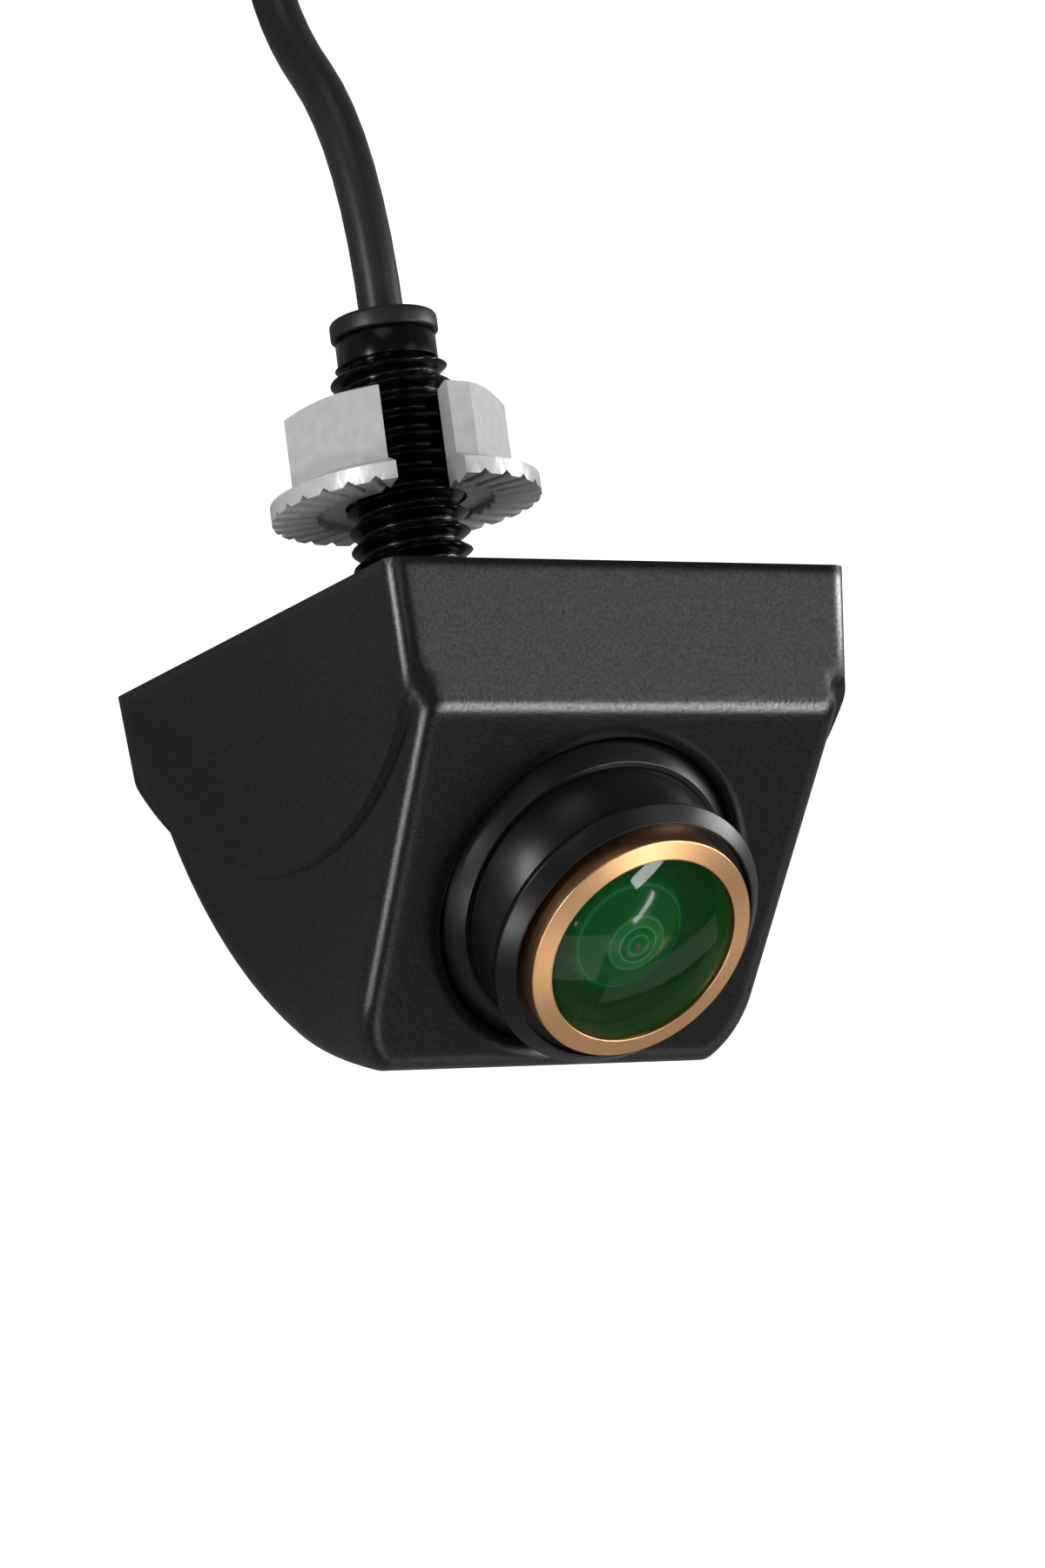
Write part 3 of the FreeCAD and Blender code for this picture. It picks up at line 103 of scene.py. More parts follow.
@dataclass(frozen=True)
class Finish:
    """One surface finish, made into a Blender material on first use.

    Attributes:
        name: Material name.
        colour: Base colour, linear RGB.
        roughness: Microfacet roughness.
        metallic: 1 for bare metal, 0 otherwise.
        specular: Strength of the dielectric reflection.
        coat: Weight of a clear coat.
        texture: Pattern that breaks up the surface.
        size: Size of the pattern's grains, in metres.
        depth: Height of the pattern's relief, in metres.
        contrast: How far the pattern's colour departs from the base colour.
        edge: Reach of the soft rounding that edges show, in metres.
        speckle: How far the reflection varies from grain to grain.
    """

    name: str
    colour: Colour
    roughness: float = 0.45
    metallic: float = 0.0
    specular: float = 0.5
    coat: float = 0.0
    texture: Texture = Texture.PLAIN
    size: float = 0.0003
    depth: float = 0.00001
    contrast: float = 0.0
    edge: float = 0.0
    speckle: float = 0.0

    def material(self) -> bpy.types.Material:
        """Build the material once per name.

        Returns:
            The material.
        """
        known = bpy.data.materials.get(self.name)
        if known is not None:
            return known
        made, shader = start_material(self.name)
        shader.inputs["Base Color"].default_value = (*self.colour, 1.0)
        shader.inputs["Roughness"].default_value = self.roughness
        shader.inputs["Metallic"].default_value = self.metallic
        shader.inputs["Specular IOR Level"].default_value = self.specular
        shader.inputs["Coat Weight"].default_value = self.coat
        if self.texture is not Texture.PLAIN:
            self._add_texture(made.node_tree, shader)
        return made

    def _add_texture(self, tree: bpy.types.NodeTree, shader: bpy.types.Node) -> None:
        """Add the noise, its relief, and the edges, reflection and colour that vary with it.

        Args:
            tree: The material's node tree.
            shader: The Principled shader to feed.
        """
        place = tree.nodes.new("ShaderNodeTexCoord")
        stretch = tree.nodes.new("ShaderNodeMapping")
        noise = tree.nodes.new("ShaderNodeTexNoise")
        noise.inputs["Detail"].default_value = NOISE_DETAIL
        if self.texture is Texture.TURNED:
            tree.links.new(place.outputs["UV"], stretch.inputs["Vector"])
            stretch.inputs["Scale"].default_value = (TURNED_ROUND, 1.0 / self.size, 1.0)
            noise.inputs["Scale"].default_value = 1.0
        else:
            tree.links.new(place.outputs["Object"], stretch.inputs["Vector"])
            noise.inputs["Scale"].default_value = 1.0 / self.size
        tree.links.new(stretch.outputs["Vector"], noise.inputs["Vector"])
        relief = tree.nodes.new("ShaderNodeBump")
        relief.inputs["Strength"].default_value = 1.0
        relief.inputs["Distance"].default_value = self.depth
        tree.links.new(noise.outputs["Fac"], relief.inputs["Height"])
        if self.speckle > 0.0:
            grains = tree.nodes.new("ShaderNodeMapRange")
            grains.inputs["From Min"].default_value = SPECKLE_BAND[0]
            grains.inputs["From Max"].default_value = SPECKLE_BAND[1]
            grains.inputs["To Min"].default_value = self.specular * (1.0 - self.speckle)
            grains.inputs["To Max"].default_value = self.specular * (1.0 + self.speckle)
            tree.links.new(noise.outputs["Fac"], grains.inputs["Value"])
            tree.links.new(grains.outputs["Result"], shader.inputs["Specular IOR Level"])
        if self.edge > 0.0:
            rounded = tree.nodes.new("ShaderNodeBevel")
            rounded.samples = EDGE_SAMPLES
            rounded.inputs["Radius"].default_value = self.edge
            tree.links.new(rounded.outputs["Normal"], relief.inputs["Normal"])
        tree.links.new(relief.outputs["Normal"], shader.inputs["Normal"])
        if self.contrast > 0.0:
            ramp = tree.nodes.new("ShaderNodeValToRGB")
            low = [c * (1.0 - self.contrast) for c in self.colour]
            high = [min(1.0, c * (1.0 + self.contrast)) for c in self.colour]
            for element, position, shade in zip(ramp.color_ramp.elements, CONTRAST_BAND, (low, high)):
                element.position = position
                element.color = (*shade, 1.0)
            tree.links.new(noise.outputs["Fac"], ramp.inputs["Fac"])
            tree.links.new(ramp.outputs["Color"], shader.inputs["Base Color"])


CAST_BLACK = Finish("cast_black", (0.004, 0.004, 0.0043), 0.23, specular=0.6, texture=Texture.GRAIN,
                    size=0.00019, depth=0.000010, contrast=0.4, edge=0.0014, speckle=0.24)
STUD_BLACK = Finish("stud_paint", (0.002, 0.002, 0.0022), 0.22, specular=0.26)
LENS_BLACK = Finish("lens_black", (0.0035, 0.0035, 0.0036), 0.33, specular=0.34, texture=Texture.GRAIN,
                    size=0.0005, depth=0.000003)
BARREL_BLACK = Finish("barrel_black", (0.004, 0.005, 0.004), 0.5, specular=0.3)
ZINC = Finish("bright_zinc", (0.56, 0.56, 0.555), 0.38, metallic=0.2, specular=0.5, texture=Texture.MOTTLED,
              size=0.0009, depth=0.00003, contrast=0.07)
STEEL = Finish("plain_steel", (0.55, 0.55, 0.55), 0.32, metallic=1.0)
BRASS = Finish("plain_brass", (0.72, 0.52, 0.22), 0.3, metallic=1.0)
GOLD_RING = Finish("gold_ring", (0.80, 0.45, 0.22), 0.32, metallic=1.0, texture=Texture.TURNED, size=0.00007,
                   depth=0.000003, contrast=0.07)
RUBBER = Finish("rubber", (0.009, 0.009, 0.009), 0.42, specular=0.4, texture=Texture.GRAIN, size=0.0006,
                depth=0.000008)
SHEATH = Finish("sheath", (0.012, 0.012, 0.013), 0.38, specular=0.45)
PLASTIC_BLACK = Finish("plastic_black", (0.009, 0.009, 0.009), 0.4, specular=0.4)
PLASTIC_CREAM = Finish("plastic_cream", (0.72, 0.66, 0.5), 0.45)
CHIP = Finish("chip", (0.012, 0.012, 0.014), 0.45)
BOARD = Finish("board", (0.01, 0.09, 0.035), 0.35, coat=0.4)


@dataclass(frozen=True)
class Glass:
    """Clear or tinted glass whose see-through part is set by alpha.

    Attributes:
        name: Material name.
        colour: Tint, linear RGB.
        alpha: How solid the glass looks.
        specular: Strength of the reflection.
        roughness: Microfacet roughness.
        ior: Index of refraction.
    """

    name: str
    colour: Colour
    alpha: float
    specular: float = 1.0
    roughness: float = 0.02
    ior: float = 1.7

    def material(self) -> bpy.types.Material:
        """Build the material once per name.

        Returns:
            The material.
        """
        known = bpy.data.materials.get(self.name)
        if known is not None:
            return known
        made, shader = start_material(self.name)
        shader.inputs["Base Color"].default_value = (*self.colour, 1.0)
        shader.inputs["Roughness"].default_value = self.roughness
        shader.inputs["Specular IOR Level"].default_value = self.specular
        shader.inputs["IOR"].default_value = self.ior
        shader.inputs["Alpha"].default_value = self.alpha
        return made


@dataclass(frozen=True)
class PaintedReflectionRings:
    """Painted reflection rings of a lens: colour set by the piece's own radius attribute that stands for light
    reflected in the lens.

    Attributes:
        name: Material name.
        stops: Pairs of a share of the lens's radius and a linear colour.
        roughness: Microfacet roughness.
        coat: Weight of a clear coat.
    """

    name: str
    stops: Tuple[Tuple[float, Colour], ...]
    roughness: float = 0.18
    coat: float = 0.1

    def material(self) -> bpy.types.Material:
        """Build the material once per name.

        Returns:
            The material.
        """
        known = bpy.data.materials.get(self.name)
        if known is not None:
            return known
        made, shader = start_material(self.name)
        tree = made.node_tree
        shader.inputs["Roughness"].default_value = self.roughness
        shader.inputs["Coat Weight"].default_value = self.coat
        radius = tree.nodes.new("ShaderNodeAttribute")
        radius.attribute_name = "radius_share"
        ramp = tree.nodes.new("ShaderNodeValToRGB")
        elements = ramp.color_ramp.elements
        for element, (share, colour) in zip(elements, (self.stops[0], self.stops[-1])):
            element.position, element.color = share, (*colour, 1.0)
        for share, colour in self.stops[1:-1]:
            element = elements.new(share)
            element.color = (*colour, 1.0)
        tree.links.new(radius.outputs["Fac"], ramp.inputs["Fac"])
        tree.links.new(ramp.outputs["Color"], shader.inputs["Base Color"])
        return made


FRONT_GLASS = Glass("front_green", (0.002, 0.075, 0.009), 0.34, 0.26)
INNER_GLASS = Glass("inner_glass", (0.02, 0.2, 0.06), 0.5)
# Painted reflections: these stops paint the lens's reflections as bright rings and an orange glint at the centre, on a
# dark green ground.
PAINTED_LENS_REFLECTIONS = PaintedReflectionRings("painted_lens_reflections", (
    (0.00, (0.50, 0.16, 0.03)), (0.035, (0.30, 0.22, 0.04)), (0.07, (0.02, 0.22, 0.05)),
    (0.15, (0.03, 0.28, 0.08)), (0.17, (0.25, 0.65, 0.28)), (0.19, (0.03, 0.26, 0.08)),
    (0.28, (0.02, 0.16, 0.04)), (0.30, (0.28, 0.66, 0.30)), (0.325, (0.05, 0.35, 0.11)),
    (0.42, (0.05, 0.32, 0.11)), (0.45, (0.20, 0.50, 0.22)), (0.49, (0.012, 0.13, 0.03)),
    (0.72, (0.010, 0.13, 0.03)), (0.84, (0.01, 0.15, 0.05)), (0.87, (0.06, 0.42, 0.30)),
    (0.90, (0.010, 0.17, 0.06)), (0.95, (0.006, 0.11, 0.02)), (1.00, (0.004, 0.09, 0.015))))
Dressing = Union[Finish, Glass, PaintedReflectionRings]


@dataclass(frozen=True)
class Placement:
    """Local frame of a turned piece: its origin and its axis, with local X kept along the row's X.

    Attributes:
        origin: Origin in the row frame, in metres.
        axis: Unit vector of local Z in the row frame.
    """

    origin: Vector
    axis: Vector

    def matrix(self) -> Matrix:
        """Work out the matrix from local metres to the row frame.

        Returns:
            The matrix, without scale.
        """
        z = self.axis.normalized()
        x = Vector((1.0, 0.0, 0.0))
        if abs(z.x) > 0.9:
            x = Vector((0.0, 0.0, 1.0))
        x = (x - z * x.dot(z)).normalized()
        y = z.cross(x)
        turned = Matrix((x, y, z)).transposed().to_4x4()
        return Matrix.Translation(self.origin) @ turned


def corner_rounds(points: Sequence[Tuple[float, float]], radii: Sequence[float], steps: int = 5,
                  ease: float = 0.0) -> np.ndarray:
    """Round the corners of a closed profile with arcs.

    Each corner is cut back along both its sides by radius / tan(half the corner's angle), and an arc of
    that radius joins the two cuts.

    Args:
        points: Corners as (radius, height), in millimetres.
        radii: Rounding radius of each corner, 0 to keep it sharp.
        steps: Points on each arc.
        ease: Distance from an arc's ends to the added points that keep its sides shaded flat, 0 for none.

    Returns:
        Array of (radius, height) points.
    """
    corners = np.asarray(points, float)
    out: List[np.ndarray] = []
    for i, radius in enumerate(radii):
        here = corners[i]
        back = corners[i - 1] - here
        ahead = corners[(i + 1) % len(corners)] - here
        if radius <= 0.0:
            out.append(here[None, :])
            continue
        back /= np.linalg.norm(back)
        ahead /= np.linalg.norm(ahead)
        half = math.acos(float(np.clip(back @ ahead, -1.0, 1.0))) / 2.0
        middle = (back + ahead) / np.linalg.norm(back + ahead)
        centre = here + middle * radius / math.sin(half)
        start = here + back * radius / math.tan(half) - centre
        end = here + ahead * radius / math.tan(half) - centre
        turn = math.atan2(start[0] * end[1] - start[1] * end[0], float(start @ end))
        angles = math.atan2(start[1], start[0]) + np.linspace(0.0, turn, steps)
        arc = centre + radius * np.stack([np.cos(angles), np.sin(angles)], axis=1)
        if ease > 0.0:
            arc = np.vstack([arc[0] + back * ease, arc, arc[-1] + ahead * ease])
        out.append(arc)
    return np.concatenate(out)


def arc_points(radius: float, low: float, high: float, steps: int = 24) -> List[Tuple[float, float]]:
    """Points (radius, height) on a ball's side, from one height to another.

    Args:
        radius: Ball radius.
        low: First height.
        high: Last height.
        steps: Number of points.

    Returns:
        The points, evenly spaced in angle: radius times (cos a, sin a).
    """
    angles = np.linspace(math.asin(low / radius), math.asin(high / radius), steps)
    return [(radius * math.cos(a), radius * math.sin(a)) for a in angles]


def cap_points(radius: float, edge: float, top: float, steps: int = 20) -> List[Tuple[float, float]]:
    """Points on a shallow dome from its rim to its crown.

    The dome is a sphere of radius (r * r + h * h) / (2 * h) through the rim and the crown.

    Args:
        radius: Rim radius.
        edge: Rim height.
        top: Crown height.
        steps: Number of points.

    Returns:
        The points as (radius, height).
    """
    rise = top - edge
    sphere = (radius * radius + rise * rise) / (2.0 * abs(rise))
    side = math.copysign(1.0, rise)
    radii = radius * np.cos(np.linspace(0.0, math.pi / 2.0, steps))
    heights = top - side * (sphere - np.sqrt(sphere ** 2 - radii ** 2))
    return list(zip(radii.tolist(), heights.tolist()))


def finish_mesh(mesh: bpy.types.Mesh, smooth_angle: float = 32.0, merge: float = 1e-7) -> None:
    """Merge doubles, close the poles, point the faces outwards and shade smooth below an angle.

    Args:
        mesh: Mesh to finish.
        smooth_angle: Edges sharper than this many degrees stay sharp.
        merge: Distance under which points are merged, in metres.
    """
    work = bmesh.new()
    work.from_mesh(mesh)
    bmesh.ops.remove_doubles(work, verts=work.verts, dist=merge)
    bmesh.ops.dissolve_degenerate(work, edges=work.edges, dist=merge)
    bmesh.ops.recalc_face_normals(work, faces=work.faces)
    work.to_mesh(mesh)
    work.free()
    mesh.polygons.foreach_set("use_smooth", np.ones(len(mesh.polygons), bool))
    mesh.set_sharp_from_angle(angle=math.radians(smooth_angle))
    mesh.update()


def grid_mesh(name: str, points: np.ndarray, shares: Optional[np.ndarray] = None) -> bpy.types.Mesh:
    """Mesh from a grid of points that closes on itself both ways.

    Args:
        name: Mesh name.
        points: Array (rows, columns, 3) in metres; rows run round the axis, columns along the profile.
        shares: Optional value per column, stored on the points as radius_share.

    Returns:
        The mesh, with a UV map of turns round the axis and metres along the profile.
    """
    rows, columns = points.shape[:2]
    row, column = np.indices((rows, columns))
    next_row = (row + 1) % rows
    next_column = (column + 1) % columns
    quads = np.stack([row * columns + column, next_row * columns + column,
                      next_row * columns + next_column, row * columns + next_column], axis=-1).reshape(-1, 4)
    mesh = bpy.data.meshes.new(name)
    mesh.from_pydata(points.reshape(-1, 3).tolist(), [], quads.tolist())
    if shares is not None:
        attribute = mesh.attributes.new("radius_share", "FLOAT", "POINT")
        attribute.data.foreach_set("value", np.tile(shares, rows).astype(np.float32))
    steps = np.linalg.norm(np.diff(points[0], axis=0, append=points[0][:1]), axis=1)
    run = np.concatenate([[0.0], np.cumsum(steps)])
    turn = np.stack([row, row + 1, row + 1, row], axis=-1) / rows
    along = run[np.stack([column, column, column + 1, column + 1], axis=-1)]
    layer = mesh.uv_layers.new(name="turned")
    layer.data.foreach_set("uv", np.stack([turn, along], axis=-1).reshape(-1).astype(np.float32))
    return mesh


def add_piece(name: str, mesh: bpy.types.Mesh, finish: Dressing, body: Body,
              stands_for: Sequence[str] = ()) -> bpy.types.Object:
    """Link a mesh as a piece that rides on a body.

    Args:
        name: Piece name.
        mesh: Its mesh, already in the row frame.
        finish: Its surface finish.
        body: Body that it rides on.
        stands_for: CAD nodes that it replaces.

    Returns:
        The new object.
    """
    piece = bpy.data.objects.new(name, mesh)
    bpy.context.scene.collection.objects.link(piece)
    mesh.materials.clear()
    mesh.materials.append(finish.material())
    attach(piece, body.value)
    if stands_for:
        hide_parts(*stands_for)
    LOG.info("%s: %d faces, rides on %s", name, len(mesh.polygons), body.value)
    return piece


def turned_piece(name: str, profile: Sequence[Tuple[float, float]], place: Placement, finish: Dressing, body: Body,
                 stands_for: Sequence[str] = (), around: int = 160) -> bpy.types.Object:
    """Surface of revolution: x = r cos a, y = r sin a, z = h for each (r, h) of a closed profile.

    Args:
        name: Piece name.
        profile: Closed profile as (radius, height), in millimetres.
        place: Local frame.
        finish: Its surface finish.
        body: Body that it rides on.
        stands_for: CAD nodes that it replaces.
        around: Steps round the axis.

    Returns:
        The new object.
    """
    outline = np.asarray(profile, float)
    angles = np.linspace(0.0, 2.0 * math.pi, around, endpoint=False)[:, None]
    radii = outline[None, :, 0] * MM
    heights = np.broadcast_to(outline[None, :, 1] * MM, (around, len(outline)))
    points = np.stack([radii * np.cos(angles), radii * np.sin(angles), heights], axis=-1)
    mesh = grid_mesh(name, points, outline[:, 0] / outline[:, 0].max())
    mesh.transform(place.matrix())
    finish_mesh(mesh)
    return add_piece(name, mesh, finish, body, stands_for)


def dressed_copy(node: str, finish: Dressing, body: Body, bevel: float = 0.0,
                 smooth_angle: float = 30.0) -> bpy.types.Object:
    """Smooth-shaded copy of a CAD node, with its sharp edges broken.

    Args:
        node: CAD node to copy.
        finish: Its surface finish.
        body: Body that it rides on.
        bevel: Width of the broken edges in metres, 0 for none.
        smooth_angle: Edges sharper than this many degrees stay sharp.

    Returns:
        The new object.
    """
    mesh = frame["nodes"][node].data.copy()
    work = bmesh.new()
    work.from_mesh(mesh)
    bmesh.ops.remove_doubles(work, verts=work.verts, dist=CAD_MERGE)
    work.to_mesh(mesh)
    work.free()
    mesh.polygons.foreach_set("use_smooth", np.ones(len(mesh.polygons), bool))
    mesh.set_sharp_from_angle(angle=math.radians(smooth_angle))
    piece = add_piece(node + "_dressed", mesh, finish, body, (node,))
    if bevel > 0.0:
        rounding = piece.modifiers.new("broken_edges", "BEVEL")
        rounding.width = bevel
        rounding.segments = 2
        rounding.limit_method = "ANGLE"
        rounding.angle_limit = math.radians(smooth_angle)
    shading = piece.modifiers.new("flat_faces_stay_flat", "WEIGHTED_NORMAL")
    shading.keep_sharp = True
    shading.weight = 100
    return piece


def paint_nodes(finish: Dressing, *names: str) -> None:
    """Give CAD nodes whose shape is right a finish.

    Args:
        finish: The surface finish.
        names: The nodes.
    """
    for name in names:
        slots = frame["nodes"][name].data.materials
        slots.clear()
        slots.append(finish.material())
        LOG.info("%s: painted %s", name, finish.name)


def joint(name: str) -> Dict:
    """Return the frame's joint of that name."""
    return next(j for j in frame["joints"] if j["name"] == name)


def mount_point(name: str) -> Vector:
    """Return the place of the record's mount of that name."""
    return Vector(next(m["pos_m"] for m in frame["record"]["mounts"] if m["name"] == name))


@dataclass
class Housing:
    """Cast housing with its cover plate, screws and seals."""

    edge_break: float = 0.00012

    def build(self) -> None:
        """Dress the housing and the pieces screwed to it."""
        dressed_copy("housing_shell", CAST_BLACK, Body.CAMERA)
        dressed_copy("mount_plate", CAST_BLACK, Body.CAMERA, self.edge_break)
        for letter in "abcd":
            dressed_copy("cover_screw_" + letter, STEEL, Body.CAMERA, self.edge_break / 2)
        paint_nodes(RUBBER, "plate_gasket", "stud_seal")
        paint_nodes(STEEL, "seat_spring", "crimp_ring")


@dataclass
class Stud:
    """Hollow threaded stud, its grommet and the slotted nut. Profiles are in millimetres from the mounting face."""

    thread_radius: float = 3.95
    thread_depth: float = 0.72
    pitch: float = 1.25
    thread_end: float = 19.7
    neck_radius: float = 3.3
    length: float = 21.6
    bore_radius: float = 1.75
    flange_radius: float = 5.15
    flange_low: float = -3.8
    plate_low: float = -2.2
    seat_radius: float = 2.5
    seat_depth: float = 5.0
    lip_radius: float = 3.55
    lip_top: float = 22.87
    cable_radius: float = 1.5
    grommet_rounds: Tuple[float, ...] = (0, 0, 0, 0.15, 0.35, 0.1)
    steps_per_pitch: int = 18
    around: int = 120
    groove_slope: float = 1.25
    crest_flat: float = 0.05
    root_power: float = 1.2
    run_in: float = 0.8
    run_out: float = 0.9
    end_taper: float = 0.25
    end_step: float = 0.05
    chamfer: float = 0.15
    plate_step: float = 0.02
    thread_smooth_deg: float = 50.0
    nut_edge: float = 0.00014

    def place(self) -> Placement:
        """Find the stud's frame.

        Returns:
            The frame on the mounting face, along the stud.
        """
        low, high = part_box("stud")
        face = mount_point("mounting_face")
        return Placement(Vector(((low.x + high.x) / 2, face.y, (low.z + high.z) / 2)), Vector((0.0, 1.0, 0.0)))

    def build(self) -> None:
        """Make the thread and the grommet, and dress the nut."""
        self.thread()
        self.grommet()
        dressed_copy("flange_nut", ZINC, Body.NUT, self.nut_edge)
        paint_nodes(SHEATH, "cable_core", "wire_harness")

    def thread(self) -> None:
        """Threaded tube: the outer radius is the thread's radius less its depth times a blunted triangle wave.

        The wave's phase is height / pitch less turns round the axis. The wave is slope * |2 phase - 1| - flat,
        kept between 0 and 1 and raised to a power. It fades in at the mounting face, and the tube tapers
        over the run out at the thread's end.
        """
        count = int((self.thread_end - self.plate_low) / self.pitch * self.steps_per_pitch)
        heights = np.linspace(self.plate_low, self.thread_end, count)
        neck = np.array([(self.neck_radius, self.thread_end + self.end_step),
                         (self.neck_radius, self.length - self.chamfer),
                         (self.neck_radius - self.chamfer, self.length), (self.seat_radius, self.length),
                         (self.seat_radius, self.length - self.seat_depth),
                         (self.bore_radius, self.length - self.seat_depth), (self.bore_radius, self.flange_low),
                         (self.flange_radius, self.flange_low),
                         (self.flange_radius, self.plate_low - self.plate_step)])
        radii = np.concatenate([np.full(count, self.thread_radius), neck[:, 0]])
        levels = np.concatenate([heights, neck[:, 1]])
        angles = np.linspace(0.0, 2.0 * math.pi, self.around, endpoint=False)[:, None]
        phase = np.mod(levels[None, :] / self.pitch - angles / (2.0 * math.pi), 1.0)
        wave = self.groove_slope * np.abs(2.0 * phase - 1.0) - self.crest_flat
        wave = np.clip(wave, 0.0, 1.0) ** self.root_power
        threaded = np.clip(levels / self.run_in, 0.0, 1.0)
        threaded[count:] = 0.0
        cut = self.thread_depth * wave * threaded[None, :]
        taper = self.end_taper * (1.0 - np.clip((self.thread_end - levels) / self.run_out, 0.0, 1.0))
        taper[count:] = 0.0
        outer = (radii[None, :] - cut - taper[None, :]) * MM
        points = np.stack([outer * np.cos(angles), outer * np.sin(angles),
                           np.broadcast_to(levels[None, :] * MM, outer.shape)], axis=-1)
        mesh = grid_mesh("stud_thread", points)
        mesh.transform(self.place().matrix())
        finish_mesh(mesh, self.thread_smooth_deg)
        add_piece("stud_thread", mesh, STUD_BLACK, Body.CAMERA, ("stud",))

    def grommet(self) -> None:
        """Rubber collar in the stud's mouth."""
        seat_end = self.length - self.seat_depth
        corners = [(self.cable_radius, seat_end), (self.seat_radius, seat_end), (self.seat_radius, self.length),
                   (self.lip_radius, self.length), (self.lip_radius, self.lip_top), (self.cable_radius, self.lip_top)]
        profile = corner_rounds(corners, self.grommet_rounds)
        turned_piece("grommet_collar", profile, self.place(), RUBBER, Body.CAMERA, ("cable_grommet",))


@dataclass
class Carrier:
    """Swivelling carrier of the eyeball. Profiles are in millimetres from the ball's centre."""

    seat_radius: float = 9.15
    cup_radius: float = 9.95
    flange_radius: float = 10.3
    flange_low: float = -0.28
    flange_top: float = 0.35
    top_radius: float = 9.35
    top: float = 1.6
    rounds: Tuple[float, ...] = (0, 0.1, 0.25, 0.12, 0, 0, 0)

    def place(self) -> Placement:
        """Return the carrier's frame, on the swivel joint."""
        turn = joint("swivel_turn")
        return Placement(Vector(turn["pos_m"]), Vector(turn["axis"]))

    def build(self) -> None:
        """Make the swivel ring and paint the hidden pieces."""
        seat = arc_points(self.seat_radius, 0.0, self.top, 8)[::-1]
        corners = [(self.cup_radius, self.flange_low), (self.flange_radius, self.flange_low),
                   (self.flange_radius, self.flange_top), (self.top_radius, self.top)]
        rounded = corner_rounds(corners + [seat[0], seat[-1], (self.cup_radius, 0.0)], self.rounds)
        profile = np.concatenate([rounded[:-2], np.array(seat[1:]), rounded[-1:]])
        turned_piece("swivel_collar", profile, self.place(), LENS_BLACK, Body.SWIVEL,
                     ("swivel_ring",))
        paint_nodes(PLASTIC_BLACK, "carrier_cup")
        paint_nodes(RUBBER, "ball_seal")
        paint_nodes(STEEL, "retaining_clip", "pivot_pin_left", "pivot_pin_right")


